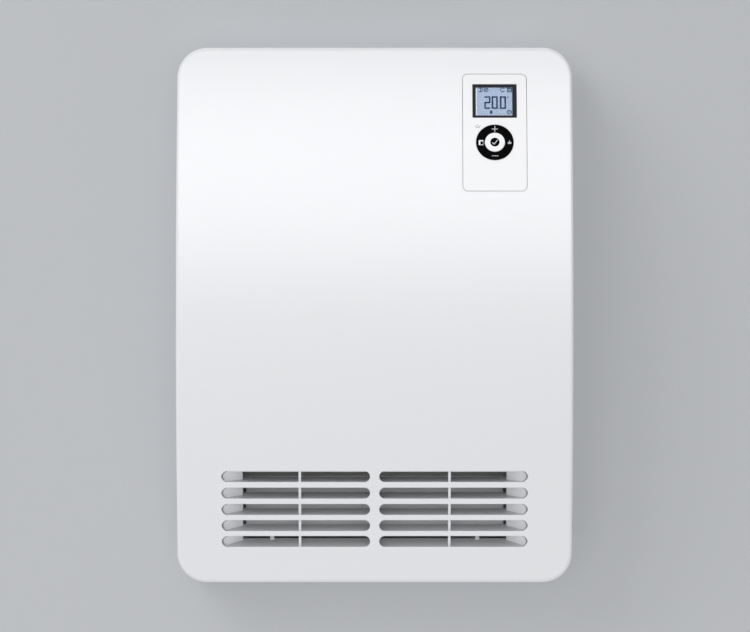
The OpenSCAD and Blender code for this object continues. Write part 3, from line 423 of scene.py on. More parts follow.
def refinish(thing, material, wanted):
    """Gives a second material to the faces that wanted picks."""
    thing.data.materials.append(material)
    for face in thing.data.polygons:
        if wanted(face):
            face.material_index = 1


# ---------------------------------------------------------------- effects


def effect_group(name, inputs, outputs):
    """An empty node group with its sockets, its input node and its output node."""
    group = bpy.data.node_groups.new(name, "ShaderNodeTree")
    for label, kind, value in inputs:
        socket = group.interface.new_socket(name=label, in_out="INPUT", socket_type=kind)
        socket.default_value = value
    for label, kind in outputs:
        group.interface.new_socket(name=label, in_out="OUTPUT", socket_type=kind)
    start = group.nodes.new("NodeGroupInput")
    start.location = (-900, 0)
    end = group.nodes.new("NodeGroupOutput")
    end.location = (500, 0)
    return group, start, end


def add(tree, kind, x, y, **settings):
    """A new node at a place in the editor, with its settings."""
    node = tree.nodes.new(kind)
    node.location = (x, y)
    for key, value in settings.items():
        setattr(node, key, value)
    return node


def moulded_grain():
    """Fine spark-eroded grain of a moulding: an uneven gloss and a height."""
    group, start, end = effect_group(
        "Moulded grain",
        [("Scale", "NodeSocketFloat", 900.0), ("Gloss low", "NodeSocketFloat", 0.3),
         ("Gloss high", "NodeSocketFloat", 0.4)],
        [("Roughness", "NodeSocketFloat"), ("Height", "NodeSocketFloat")])
    link = group.links.new
    place = add(group, "ShaderNodeTexCoord", -700, -200)
    fine = add(group, "ShaderNodeTexNoise", -450, 100)
    fine.inputs["Detail"].default_value = 3
    broad = add(group, "ShaderNodeTexNoise", -450, -200)
    broad.inputs["Scale"].default_value = 14
    broad.inputs["Detail"].default_value = 4
    spread = add(group, "ShaderNodeMapRange", -200, -200)
    spread.inputs["From Min"].default_value = 0.35
    spread.inputs["From Max"].default_value = 0.65
    link(place.outputs["Object"], fine.inputs["Vector"])
    link(start.outputs["Scale"], fine.inputs["Scale"])
    link(place.outputs["Object"], broad.inputs["Vector"])
    link(broad.outputs["Fac"], spread.inputs["Value"])
    link(start.outputs["Gloss low"], spread.inputs["To Min"])
    link(start.outputs["Gloss high"], spread.inputs["To Max"])
    link(spread.outputs["Result"], end.inputs["Roughness"])
    link(fine.outputs["Fac"], end.inputs["Height"])
    return group


def tone_drift():
    """A colour that drifts a little between two tones across a piece."""
    group, start, end = effect_group(
        "Tone drift",
        [("First", "NodeSocketColor", (0.8, 0.8, 0.8, 1)),
         ("Second", "NodeSocketColor", (0.7, 0.7, 0.7, 1)), ("Scale", "NodeSocketFloat", 6.0)],
        [("Colour", "NodeSocketColor")])
    link = group.links.new
    place = add(group, "ShaderNodeTexCoord", -700, -200)
    cloud = add(group, "ShaderNodeTexNoise", -450, 0)
    cloud.inputs["Detail"].default_value = 5
    spread = add(group, "ShaderNodeMapRange", -200, -100)
    spread.inputs["From Min"].default_value = 0.3
    spread.inputs["From Max"].default_value = 0.7
    mix = add(group, "ShaderNodeMix", 200, 0, data_type="RGBA")
    link(place.outputs["Object"], cloud.inputs["Vector"])
    link(start.outputs["Scale"], cloud.inputs["Scale"])
    link(cloud.outputs["Fac"], spread.inputs["Value"])
    link(spread.outputs["Result"], mix.inputs["Factor"])
    link(start.outputs["First"], mix.inputs["A"])
    link(start.outputs["Second"], mix.inputs["B"])
    link(mix.outputs["Result"], end.inputs["Colour"])
    return group


def rolled_sheet():
    """Rolling lines and zinc spangle of sheet metal: a mask, a gloss and a height."""
    group, start, end = effect_group(
        "Rolled sheet",
        [("Spangle", "NodeSocketFloat", 90.0), ("Lines", "NodeSocketFloat", 500.0),
         ("Gloss low", "NodeSocketFloat", 0.3), ("Gloss high", "NodeSocketFloat", 0.5)],
        [("Mask", "NodeSocketFloat"), ("Roughness", "NodeSocketFloat"),
         ("Height", "NodeSocketFloat")])
    link = group.links.new
    place = add(group, "ShaderNodeTexCoord", -900, -200)
    crystals = add(group, "ShaderNodeTexVoronoi", -450, 200, feature="F1")
    stretch = add(group, "ShaderNodeMapping", -700, -200)
    stretch.inputs["Scale"].default_value = (0.04, 1, 1)
    lines = add(group, "ShaderNodeTexNoise", -450, -200)
    lines.inputs["Detail"].default_value = 3
    mean = add(group, "ShaderNodeMath", -200, 50, operation="MULTIPLY_ADD")
    mean.inputs[1].default_value = 0.5
    spread = add(group, "ShaderNodeMapRange", 100, -100)
    link(place.outputs["Object"], crystals.inputs["Vector"])
    link(start.outputs["Spangle"], crystals.inputs["Scale"])
    link(place.outputs["Object"], stretch.inputs["Vector"])
    link(stretch.outputs["Vector"], lines.inputs["Vector"])
    link(start.outputs["Lines"], lines.inputs["Scale"])
    link(crystals.outputs["Distance"], mean.inputs[0])
    link(lines.outputs["Fac"], mean.inputs[2])
    link(mean.outputs["Value"], spread.inputs["Value"])
    link(start.outputs["Gloss low"], spread.inputs["To Min"])
    link(start.outputs["Gloss high"], spread.inputs["To Max"])
    link(mean.outputs["Value"], end.inputs["Mask"])
    link(spread.outputs["Result"], end.inputs["Roughness"])
    link(lines.outputs["Fac"], end.inputs["Height"])
    return group


def effect(tree, maker, x, y, **values):
    """Places an effect group, made once, with its own values."""
    name = maker.__name__.replace("_", " ").capitalize()
    group = bpy.data.node_groups.get(name) or maker()
    node = add(tree, "ShaderNodeGroup", x, y, node_tree=group)
    for key, value in values.items():
        node.inputs[key.replace("_", " ").capitalize()].default_value = value
    return node


def rgb(red, green, blue):
    """A colour given as it shows on a screen, from 0 to 255, as light."""
    return (linear(red / 255), linear(green / 255), linear(blue / 255), 1)


def shaded(colour, share):
    """The colour with a share of its light."""
    return (colour[0] * share, colour[1] * share, colour[2] * share, 1)


# ---------------------------------------------------------------- finishes


def new_finish(name):
    """A fresh material with its shader and the tree to build in."""
    material = bpy.data.materials.new(name)
    material.use_nodes = True
    tree = material.node_tree
    shader = tree.nodes["Principled BSDF"]
    shader.location = (200, 0)
    return material, tree, shader


def add_relief(tree, shader, source, strength):
    """Lets a height stand out of the surface."""
    bump = add(tree, "ShaderNodeBump", -50, -350)
    bump.inputs["Strength"].default_value = strength
    bump.inputs["Distance"].default_value = GRAIN
    tree.links.new(source, bump.inputs["Height"])
    tree.links.new(bump.outputs["Normal"], shader.inputs["Normal"])


def moulded(name, colour, gloss=(0.3, 0.4), grain=900.0, relief=0.04, drift=0.97, coat=0.0,
            specular=0.5):
    """A moulded plastic with a fine grain and a slight drift of tone."""
    material, tree, shader = new_finish(name)
    tones = effect(tree, tone_drift, -350, 150, first=colour, second=shaded(colour, drift))
    grains = effect(tree, moulded_grain, -350, -100, scale=grain, gloss_low=gloss[0],
                    gloss_high=gloss[1])
    tree.links.new(tones.outputs["Colour"], shader.inputs["Base Color"])
    tree.links.new(grains.outputs["Roughness"], shader.inputs["Roughness"])
    shader.inputs["Coat Weight"].default_value = coat
    shader.inputs["Coat Roughness"].default_value = 0.12
    shader.inputs["Specular IOR Level"].default_value = specular
    add_relief(tree, shader, grains.outputs["Height"], relief)
    return material


def sheet_metal(name, colour, gloss=(0.3, 0.5), spangle=90.0, lines=500.0, second=0.75,
                relief=0.08, metallic=1.0):
    """Rolled or plated metal, with its lines and its crystals."""
    material, tree, shader = new_finish(name)
    sheet = effect(tree, rolled_sheet, -600, 0, spangle=spangle, lines=lines,
                   gloss_low=gloss[0], gloss_high=gloss[1])
    mix = add(tree, "ShaderNodeMix", -250, 150, data_type="RGBA")
    mix.inputs["A"].default_value = colour
    mix.inputs["B"].default_value = shaded(colour, second)
    tree.links.new(sheet.outputs["Mask"], mix.inputs["Factor"])
    tree.links.new(mix.outputs["Result"], shader.inputs["Base Color"])
    tree.links.new(sheet.outputs["Roughness"], shader.inputs["Roughness"])
    shader.inputs["Metallic"].default_value = metallic
    add_relief(tree, shader, sheet.outputs["Height"], relief)
    return material


def clear_lens(name):
    """The display's clear window."""
    material, tree, shader = new_finish(name)
    grains = effect(tree, moulded_grain, -350, -100, scale=400, gloss_low=0.01, gloss_high=0.03)
    tree.links.new(grains.outputs["Roughness"], shader.inputs["Roughness"])
    shader.inputs["Base Color"].default_value = (0.97, 0.985, 1, 1)
    shader.inputs["Transmission Weight"].default_value = 1
    shader.inputs["IOR"].default_value = 1.49
    shader.inputs["Specular Tint"].default_value = (0.04, 0.04, 0.04, 1)
    return material


def lit_crystal(name, display):
    """The lit back of the display, with a slight drift of its tone."""
    material, tree, shader = new_finish(name)
    glow = (*display.glow, 1)
    tones = effect(tree, tone_drift, -350, 150, first=glow, second=shaded(glow, 0.93), scale=40)
    grains = effect(tree, moulded_grain, -350, -100, scale=300, gloss_low=0.25, gloss_high=0.4)
    tree.links.new(tones.outputs["Colour"], shader.inputs["Emission Color"])
    tree.links.new(grains.outputs["Roughness"], shader.inputs["Roughness"])
    shader.inputs["Base Color"].default_value = (0.02, 0.025, 0.035, 1)
    shader.inputs["Specular IOR Level"].default_value = 0.04
    shader.inputs["Emission Strength"].default_value = display.strength
    return material


def edge_light(name, display):
    """A painted reflection: paler light that glows along two edges of the lit face."""
    material = moulded(name, rgb(60, 66, 78), gloss=(0.3, 0.4), relief=0.02, specular=0.04)
    shader = material.node_tree.nodes["Principled BSDF"]
    paler = (0.5 + part / 2 for part in display.glow)
    shader.inputs["Emission Color"].default_value = (*paler, 1)
    shader.inputs["Emission Strength"].default_value = display.strength
    return material


def finish(maker, colour, **values):
    """How a slot's finish is made; its colour may be a function that reads it from the settings."""
    def make(name, scene):
        shown = (*colour(scene), 1) if callable(colour) else rgb(*colour)
        return maker(name, shown, **values)
    return make


SHEATHS = {             # colours of the leads' sheaths, which are otherwise alike
    "red_sheath": (158, 32, 30),
    "blue_sheath": (88, 136, 190),
    "brown_sheath": (110, 66, 38),
    "grey_sheath": (136, 138, 142),
    "black_sheath": (34, 34, 36),
}
FINISHES = {
    "white_moulding": finish(moulded, lambda scene: scene.heater_casing.white,
                             gloss=(0.36, 0.38), grain=1400, relief=0.02, drift=0.997),
    "white_grille": finish(moulded, (238, 239, 241), gloss=(0.42, 0.5), grain=900, relief=0.03,
                           drift=0.985),
    "rear_moulding": finish(moulded, (222, 223, 225), gloss=(0.45, 0.56), grain=500, relief=0.12,
                            drift=0.96),
    "fascia_white": finish(moulded, lambda scene: scene.heater_panel.white, gloss=(0.3, 0.33),
                           grain=1600, relief=0.01, drift=0.997, specular=0.35),
    "black_gloss": finish(moulded, lambda scene: scene.heater_keys.black, gloss=(0.4, 0.46),
                          grain=1200, relief=0.02, drift=0.9, specular=0.01),
    "key_white": finish(moulded, (242, 242, 243), gloss=(0.3, 0.34), grain=1500, relief=0.01,
                        drift=0.99, specular=0.35),
    "keypad_rubber": finish(moulded, (24, 25, 27), gloss=(0.6, 0.75), grain=700, relief=0.1,
                            drift=0.9),
    "black_plastic": finish(moulded, (28, 28, 30), gloss=(0.4, 0.5), grain=700, relief=0.1,
                            drift=0.85),
    "rocker_black": finish(moulded, (22, 22, 24), gloss=(0.25, 0.34), grain=900, relief=0.04,
                           drift=0.85),
    "filter_plastic": finish(moulded, (214, 216, 219), gloss=(0.4, 0.5), grain=700, relief=0.06,
                             drift=0.96),
    "filter_net": finish(moulded, (70, 72, 76), gloss=(0.55, 0.7), grain=1500, relief=0.2,
                         drift=0.8),
    "terminal_plastic": finish(moulded, (226, 222, 206), gloss=(0.35, 0.5), grain=600, relief=0.1,
                               drift=0.93),
    "relay_blue": finish(moulded, (40, 74, 140), gloss=(0.35, 0.45), grain=700, relief=0.06,
                         drift=0.85),
    "capacitor_black": finish(moulded, (30, 34, 40), gloss=(0.3, 0.4), grain=900, relief=0.04,
                              drift=0.8),
    "board_green": finish(moulded, (24, 84, 52), gloss=(0.28, 0.42), grain=2200, relief=0.15,
                          drift=0.75, coat=0.4),
    "grey_rubber": finish(moulded, (64, 65, 68), gloss=(0.65, 0.8), grain=500, relief=0.2,
                          drift=0.85),
    "mica": finish(moulded, (166, 165, 161), gloss=(0.35, 0.6), grain=300, relief=0.25, drift=0.8),
    "coil_winding": finish(moulded, (134, 66, 34), gloss=(0.25, 0.45), grain=1800, relief=0.5,
                           drift=0.7, coat=0.3),
    "sensor_bead": finish(moulded, (38, 36, 34), gloss=(0.3, 0.45), grain=900, relief=0.08,
                          drift=0.8),
    "lcd_glass": finish(moulded, (88, 98, 112), gloss=(0.15, 0.22), grain=900, relief=0.02,
                        drift=0.9),
    "heat_sheath": finish(moulded, (196, 176, 142), gloss=(0.6, 0.75), grain=1600, relief=0.4,
                          drift=0.8),
    "clear_lens": lambda name, scene: clear_lens(name),
    "galvanised_sheet": finish(sheet_metal, (214, 216, 218), metallic=0.55, second=0.85),
    "impeller_sheet": finish(sheet_metal, (176, 178, 181), gloss=(0.35, 0.5), spangle=200),
    "zinc_steel": finish(sheet_metal, (190, 192, 196), gloss=(0.25, 0.4), spangle=400),
    "shaft_steel": finish(sheet_metal, (186, 188, 192), gloss=(0.15, 0.25), spangle=60,
                          relief=0.03),
    "rotor_steel": finish(sheet_metal, (130, 132, 138), gloss=(0.35, 0.5), spangle=300),
    "core_steel": finish(sheet_metal, (104, 106, 110), gloss=(0.4, 0.6), lines=2600, relief=0.5),
    "element_steel": finish(sheet_metal, (204, 205, 207), spangle=150, metallic=0.5),
    "resistance_ribbon": finish(sheet_metal, (176, 176, 176), gloss=(0.25, 0.45), spangle=250),
    "sintered_bronze": finish(sheet_metal, (164, 118, 72), gloss=(0.45, 0.65), spangle=900,
                              relief=0.3),
    "switch_metal": finish(sheet_metal, (170, 172, 176), gloss=(0.3, 0.45), spangle=500),
    **{sheath: finish(moulded, colour, gloss=(0.4, 0.5), grain=800, relief=0.08, drift=0.85)
       for sheath, colour in SHEATHS.items()},
}


def finish_named(name):
    """The finished material of a slot, once the finishes operator has run."""
    return bpy.data.materials[f"finish_{name}"]


def give_finishes(scene):
    """Gives every CAD node the finish that its slot names, and three of them their own."""
    for node in frame["nodes"]:
        for slot in bpy.data.objects[node].material_slots:
            name = slot.material.name.split(".")[0]
            if name.startswith("finish_"):
                continue
            made = bpy.data.materials.get(f"finish_{name}")
            slot.material = made or FINISHES[name](f"finish_{name}", scene)
    hidden = moulded("finish_carrier", rgb(96, 98, 102), gloss=(0.5, 0.6), drift=0.9)
    # The duct's plates get a paler, matt copy of the galvanised sheet: painted light, so the floor
    # shows brighter deep in the slots.
    painted_light_sheet = sheet_metal("finish_duct", rgb(243, 244, 245), metallic=0.0, second=0.95)
    own = {"control_carrier": hidden, "scroll_plate": painted_light_sheet, "tongue_plate": painted_light_sheet}
    for node, material in own.items():
        bpy.data.objects[node].material_slots[0].material = material


class HEATER_OT_finishes(bpy.types.Operator):
    """Gives every CAD part its finish"""

    bl_idname = "heater.finishes"
    bl_label = "Finishes"

    def execute(self, context):
        give_finishes(context.scene)
        return {"FINISHED"}


# ---------------------------------------------------------------- casing


def casing_outline_distance(bow, corner, point):
    """How far a point lies outside the casing's rounded outline."""
    across = abs(point.x) - (bow.width / 2 - corner)
    up = abs(point.y) - (bow.height / 2 - corner)
    return math.hypot(max(across, 0), max(up, 0)) + min(max(across, up), 0) - corner


def slot_cutters(scene, bow, deep):
    """Stadium-shaped blocks that cut the slots, in the flat casing."""
    outlet = scene.heater_outlet
    outer = bow.width / 2 - outlet.slot_side
    size = (outer - outlet.slot_gap / 2, outlet.slot_height, deep)
    draft = outlet.slot_draft / scene.heater_casing.wall
    cutters = []
    for z in slot_rows(scene, bow):
        for side in (-1, 1):
            middle = side * (outer + outlet.slot_gap / 2) / 2
            centre = Vector((side * (outer - outlet.slot_height / 2), z, 0))
            block = rounded_block(size, outlet.slot_height / 2 - 2 * TINY, 12, (middle, z),
                                  deep / 3)
            for vert in block.verts:
                if side * (vert.co.x - middle) > 0:         # the outer end slopes in
                    reach = (vert.co - centre).xy * 2 / outlet.slot_height
                    vert.co.xy += reach * math.sqrt(abs(reach.x)) * draft * vert.co.z
            cutters.append(block)
    return cutters


def panel_cutter(scene, bow, deep):
    """A block that cuts the opening for the control panel, in the flat casing."""
    panel = scene.heater_panel
    x, along = panel_place(scene, bow)
    block = rounded_block((panel.width + 2 * FIT, panel.height + 2 * FIT, deep),
                          panel.corner + FIT, 10, top=deep / 3)
    for vert in block.verts:
        vert.co = Vector((x + vert.co.x, bow.z(along + vert.co.y), vert.co.z))
    return block


def casing_shell(scene, bow):
    """The moulding: its flat form is cut and rounded, then bent to the bow."""
    casing, outlet, panel = scene.heater_casing, scene.heater_outlet, scene.heater_panel
    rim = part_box("front_casing")[1].y
    skirt = 100 * MM            # depth of the flat form
    bm = rounded_block((bow.width, bow.height, skirt), casing.corner, 24)
    back = min(bm.faces, key=lambda face: face.calc_center_median().z)
    bmesh.ops.inset_region(bm, faces=[back], thickness=casing.wall, use_even_offset=True)
    pushed = bmesh.ops.extrude_face_region(bm, geom=[back])
    bmesh.ops.translate(bm, vec=(0, 0, skirt - casing.wall), verts=new_verts(pushed))
    if back.is_valid:
        bmesh.ops.delete(bm, geom=[back], context="FACES_ONLY")
    deep = 3 * casing.wall
    bm = cut(bm, join(panel_cutter(scene, bow, deep), *slot_cutters(scene, bow, deep)))

    def on_outline(at):
        return abs(casing_outline_distance(bow, casing.corner, at)) < NEAR

    def round_slots(at):
        return at.y < -bow.height / 4

    def round_panel(at):
        return at.y > 0 and abs(at.x) < bow.width / 2 - panel.side / 3

    round_edges(bm, front_rims(bm, wanted=on_outline), casing.edge, 8)
    round_edges(bm, front_rims(bm, wanted=round_slots), outlet.slot_edge, 3)
    round_edges(bm, front_rims(bm, wanted=round_panel), panel.rim, 3)
    slice_rows(bm, bow.height, 4 * MM)
    for vert in bm.verts:
        x, z, under = vert.co.x, vert.co.y, -vert.co.z
        vert.co = Vector((x, bow.y(z, under) if under < skirt / 2 else rim - skirt + under, z))
    return bm


THROUGH = 12 * MM       # length of a block that cuts through a wall of the casing


def filter_opening(bow):
    """The block that cuts the filter's opening in the upper wall."""
    low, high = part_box("filter_frame")
    middle = (low + high) / 2
    size = (high.x - low.x + 2 * FIT, high.y - low.y + 2 * FIT, THROUGH)
    place = Matrix.Translation((0, middle.y, bow.height / 2 + THROUGH / 3))
    return moved(rounded_block(size, 0.4 * MM, 3), place)


def switch_opening(bow):
    """The block that cuts the mains switch's opening in the right-hand wall."""
    low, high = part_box("switch_body")
    middle = (low + high) / 2
    lip = 1.4 * MM          # how far the switch's lip stands out round its body
    wide = high.y - low.y - 2 * lip + 2 * FIT
    tall = high.z - low.z - 2 * lip + 2 * FIT
    block = rounded_block((THROUGH, wide, tall), 0.1 * MM, 1, top=tall / 2)
    return moved(block, Matrix.Translation((bow.width / 2, middle.y, middle.z)))


def screw_holes():
    """Two round blocks that cut straight holes for the cover screws in the lower wall."""
    low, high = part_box("cover_screws")
    head, hole = (high.y - low.y) / 2, 2.2 * MM
    blocks = []
    for side in (-1, 1):
        place = Matrix.Translation((side * (high.x - head), (low.y + high.y) / 2, low.z))
        blocks.append(moved(disc(hole, THROUGH, 48, top=THROUGH * 2 / 3), place))
    return blocks


def at_slot_end(scene, bow, point):
    """Whether a point lies on the wall of a slot's outer end."""
    outlet = scene.heater_outlet
    outer = bow.width / 2 - outlet.slot_side
    rows = slot_rows(scene, bow)
    under = point.y - bow.y(point.z)
    return (outer - outlet.slot_height < abs(point.x) < outer + NEAR
            and rows[-1] - outlet.slot_height < point.z < rows[0] + outlet.slot_height
            and NEAR < under < scene.heater_casing.wall - NEAR)


class HEATER_OT_casing(bpy.types.Operator):
    """Makes the bowed front casing with its slots and openings"""

    bl_idname = "heater.casing"
    bl_label = "Front casing"

    def execute(self, context):
        scene, bow = context.scene, Bow(context.scene)
        openings = join(filter_opening(bow), switch_opening(bow), *screw_holes())
        shell = piece("casing_shell", cut(casing_shell(scene, bow), openings),
                      finish_named("white_moulding"))
        sideways = 0.35         # least share of a face's normal along X
        # The outer end walls of the slots get a grey that is painted shade: the same white moulding,
        # darker where these walls lie in shadow.
        grey = moulded("finish_slot_ends", rgb(138, 139, 142), gloss=(0.5, 0.6), relief=0.02)
        refinish(shell, grey, lambda face: abs(face.normal.x) > sideways
                 and at_slot_end(scene, bow, face.center))
        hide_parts("front_casing")
        return {"FINISHED"}


class HEATER_OT_outlet(bpy.types.Operator):
    """Rounds the edges of the louvres behind the slots and paints shade on their blades in grey"""

    bl_idname = "heater.outlet"
    bl_label = "Outlet grille"

    def execute(self, context):
        grille = softened("outlet_grille", context.scene.heater_outlet.blade_edge)
        level = 0.7             # least share of a face's normal along Z
        # The blades' upward faces get a grey copy of the white grille: painted shade, for the blades
        # in the shadow of the bars above.
        grey = moulded("finish_grille_blades", rgb(198, 199, 201), gloss=(0.42, 0.5), relief=0.03,
                       drift=0.985)
        refinish(grille, grey, lambda face: abs(face.normal.z) > level)
        return {"FINISHED"}


# ---------------------------------------------------------------- control panel


def panel_plate(scene, bow):
    """The white plate of the control panel, cut flat and bent to the bow."""
    panel, display, keys = scene.heater_panel, scene.heater_display, scene.heater_keys
    x, along = panel_place(scene, bow)
    through = 3 * panel.thick
    plate = rounded_block((panel.width, panel.height, panel.thick), panel.corner, 12)
    window = rounded_block((display.width, display.height, through), 0.5 * MM, 4,
                           (0, display.up), panel.thick)
    well = disc(keys.ring + FIT / 2, through, 128, (0, -keys.down), panel.thick)
    plate = cut(plate, join(window, well))
    round_edges(plate, front_rims(plate), panel.rim, 3)
    slice_rows(plate, panel.height, 3 * MM)
    return lay_on_bow(plate, bow, x, along)


class HEATER_OT_panel(bpy.types.Operator):
    """Makes the white plate of the control panel"""

    bl_idname = "heater.panel"
    bl_label = "Control panel"

    def execute(self, context):
        scene, bow = context.scene, Bow(context.scene)
        plate = piece("panel_plate", panel_plate(scene, bow), finish_named("fascia_white"))
        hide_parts("control_panel")
        return {"FINISHED"}


# ---------------------------------------------------------------- display


LIT_SHIFT = (-0.5 * MM, -0.4 * MM)      # the lit face's middle, from the frame's middle
SIGN = 0.7 * MM                         # stroke of the small signs
FINE = 0.4 * MM                         # stroke of the fields in the week's sheet


def display_frame(scene, bow):
    """The black frame round the display's window."""
    display = scene.heater_display
    x, along = panel_place(scene, bow)
    low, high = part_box("display_lens")
    play, sunk, deep, tall = 0.2 * MM, 0.15 * MM, 3.05 * MM, 27.2 * MM
    size = (display.width - play, display.height - play, deep)
    opening = (high.x - low.x + play, tall, 3 * deep)
    offset = ((low.x + high.x) / 2 - x, LIT_SHIFT[1])
    block = cut(rounded_block(size, 0.4 * MM, 3), rounded_block(opening, 0.3 * MM, 3, offset, deep))
    round_edges(block, front_rims(block), 0.25 * MM, 3)
    slice_rows(block, display.height, 3 * MM)
    moved(block, Matrix.Translation((0, 0, -sunk)))
    return lay_on_bow(block, bow, x, along + display.up)


def lit_face():
    """The thin lit sheet behind the window."""
    return rounded_block((34 * MM, 29 * MM, 0.05 * MM), 0.5 * MM, 3, LIT_SHIFT, 0.05 * MM)


def edge_strips():
    """Two thin strips of painted reflection, glowing paler along the lit sheet's left and lower edges.
    """
    wide, corner = 0.9 * MM, 0.2 * MM
    upright = rounded_block((wide, 25.5 * MM, INK), corner, 2, (-15.9 * MM, 0), INK)
    level = rounded_block((30 * MM, wide, INK), corner, 2, (-1 * MM, -13.1 * MM), INK)
    return join(upright, level)


def bar(start, end, wide):
    """A flat stroke with rounded ends from one point to another."""
    start, end = Vector(start), Vector(end)
    along = end - start
    stroke = rounded_block((along.length + wide, wide, INK), wide * 0.49, 4, top=INK)
    turn = Matrix.Rotation(math.atan2(along.y, along.x), 4, "Z")
    middle = (start + end) / 2
    return moved(stroke, Matrix.Translation((*middle, 0)) @ turn)


def loop_of(points, wide):
    """Strokes round a closed run of points."""
    return [bar(start, end, wide) for start, end in zip(points, points[1:] + points[:1])]


def ring_of(centre, radius, wide, steps, start=0.0, turn=360.0):
    """A flat ring, or an arc of one, made by spinning its section."""
    whole = turn >= 360
    inner, outer, middle = radius - wide / 2, radius + wide / 2, (*centre, 0)
    bm = bmesh.new()
    verts, edges = line_of(bm, [(centre[0] + r, centre[1], z) for r, z in (
        (inner, 0), (outer, 0), (outer, INK), (inner, INK))])
    bmesh.ops.rotate(bm, cent=middle, matrix=Matrix.Rotation(math.radians(start), 3, "Z"),
                     verts=bm.verts)
    if not whole:
        bm.faces.new(verts)
    spun = bmesh.ops.spin(bm, geom=verts + edges, cent=middle, axis=(0, 0, 1),
                          angle=math.radians(turn), steps=steps, use_merge=whole)
    if not whole:
        last = [part for part in spun["geom_last"] if isinstance(part, bmesh.types.BMEdge)]
        bmesh.ops.edgeloop_fill(bm, edges=last)
    bmesh.ops.recalc_face_normals(bm, faces=bm.faces)
    return bm


def blot(points):
    """A flat filled outline."""
    bm = bmesh.new()
    face = bm.faces.new([bm.verts.new((*point, 0)) for point in points])
    raised = bmesh.ops.extrude_face_region(bm, geom=[face])
    bmesh.ops.translate(bm, vec=(0, 0, INK), verts=new_verts(raised))
    bmesh.ops.recalc_face_normals(bm, faces=bm.faces)
    return bm


SEGMENTS = {            # strokes of a seven-segment digit that are on
    "0": "abcdef",
    "2": "abged",
}


def digit(shown, left, low, wide, high, stroke):
    """A seven-segment digit in the box from left and low."""
    x0, x1 = left + stroke / 2, left + wide - stroke / 2
    y0, y1, y2 = low + stroke / 2, low + high / 2, low + high - stroke / 2
    ends = {
        "a": ((x0, y2), (x1, y2)), "b": ((x1, y2), (x1, y1)), "c": ((x1, y1), (x1, y0)),
        "d": ((x0, y0), (x1, y0)), "e": ((x0, y1), (x0, y0)), "f": ((x0, y2), (x0, y1)),
        "g": ((x0, y1), (x1, y1)),
    }
    return [bar(*ends[name], stroke) for name in SEGMENTS[shown]]


def reading():
    """The temperature in the middle of the display: 20.0 degrees."""
    low, high, wide, stroke = -6.5 * MM, 12.2 * MM, 5.5 * MM, 1.5 * MM
    point, degree = (3.7 * MM, -6.0 * MM), (11.6 * MM, 4.6 * MM)
    parts = []
    for shown, left in (("2", -9.0), ("0", -2.6), ("0", 4.6)):
        parts += digit(shown, left * MM, low, wide, high, stroke)
    parts.append(bar(point, (point[0] + 0.05 * MM, point[1]), 1.0 * MM))
    parts.append(ring_of(degree, 0.65 * MM, 0.45 * MM, steps=20))
    return parts


def moon(x, y):
    """Two arcs that meet in its horns."""
    return [ring_of((x, y), 1.9 * MM, SIGN, start=-140, turn=280, steps=24),
            ring_of((x - 1.3 * MM, y), 1.8 * MM, SIGN, start=-60, turn=120, steps=12)]


def sun(x, y):
    """A ring with eight rays."""
    parts = [ring_of((x, y), 1.0 * MM, SIGN, steps=20)]
    for number in range(8):
        angle = math.radians(45 * number)
        ends = [(x + r * MM * math.cos(angle), y + r * MM * math.sin(angle)) for r in (1.7, 2.2)]
        parts.append(bar(*ends, SIGN))
    return parts


def round_arrow(x, y):
    """An open ring that ends in an arrowhead."""
    head = [(x + across * MM, y + up * MM) for across, up in ((0.6, 2.7), (0.6, 0.7), (2.3, 1.7))]
    return [ring_of((x, y), 1.8 * MM, SIGN, start=60, turn=270, steps=24), blot(head)]


def week_sheet(x, y):
    """A frame with a heavy bar and its fields."""
    left, right, low, high = x - 1.8 * MM, x + 1.8 * MM, y - 2 * MM, y + 1.9 * MM
    bar_y, row_y, columns_high = high - 0.9 * MM, y - 0.6 * MM, high - 1.1 * MM
    parts = loop_of([(left, low), (right, low), (right, high), (left, high)], SIGN)
    parts.append(bar((left, bar_y), (right, bar_y), 0.8 * MM))
    for column in (x - 0.6 * MM, x + 0.6 * MM):
        parts.append(bar((column, low), (column, columns_high), FINE))
    parts.append(bar((left, row_y), (right, row_y), FINE))
    return parts


def diamond(x, y):
    """A small filled diamond."""
    across, up = 1.4 * MM, 2.3 * MM
    return [blot([(x + across, y), (x, y + up), (x - across, y), (x, y - up)])]


def clock(x, y):
    """A ring with two hands."""
    hand = 0.45 * MM
    return [ring_of((x, y), 1.75 * MM, 0.8 * MM, steps=28),
            bar((x, y), (x, y + 1.1 * MM), hand), bar((x, y), (x + 0.9 * MM, y), hand)]


def icons():
    """The small signs along the display's upper and lower edges."""
    upper, lower = 11.9 * MM, -9.6 * MM
    return [*moon(-12.4 * MM, upper), *sun(-7.4 * MM, upper), *round_arrow(7.1 * MM, upper),
            *week_sheet(13.1 * MM, upper), *diamond(-3.0 * MM, lower), *clock(12.9 * MM, lower)]


class HEATER_OT_display(bpy.types.Operator):
    """Makes the display's frame, its lit face, its reading and its signs"""

    bl_idname = "heater.display"
    bl_label = "Display"

    def execute(self, context):
        scene, bow = context.scene, Bow(context.scene)
        display = scene.heater_display
        x, along = panel_place(scene, bow)

        def layer(under):
            return bow.place(x, along + display.up, under)

        dark = moulded("finish_display_frame", rgb(44, 46, 50), gloss=(0.4, 0.46), relief=0.02,
                       specular=0.02)
        edging = piece("display_frame", display_frame(scene, bow), dark)
        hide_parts("display_bezel")
        piece("display_face", moved(lit_face(), layer(3.28 * MM)),
              lit_crystal("finish_lit_crystal", display))
        # The paler strips along two edges glow: a painted reflection.
        piece("display_edge", moved(edge_strips(), layer(3.215 * MM)),
              edge_light("finish_display_edge", display), weighted=False)
        ink = moulded("finish_segments", (*display.segment, 1), gloss=(0.3, 0.4), relief=0.02,
                      specular=0.04)
        piece("display_signs", moved(join(*reading(), *icons()), layer(3.21 * MM)), ink,
              weighted=False)
        return {"FINISHED"}


# ---------------------------------------------------------------- keys


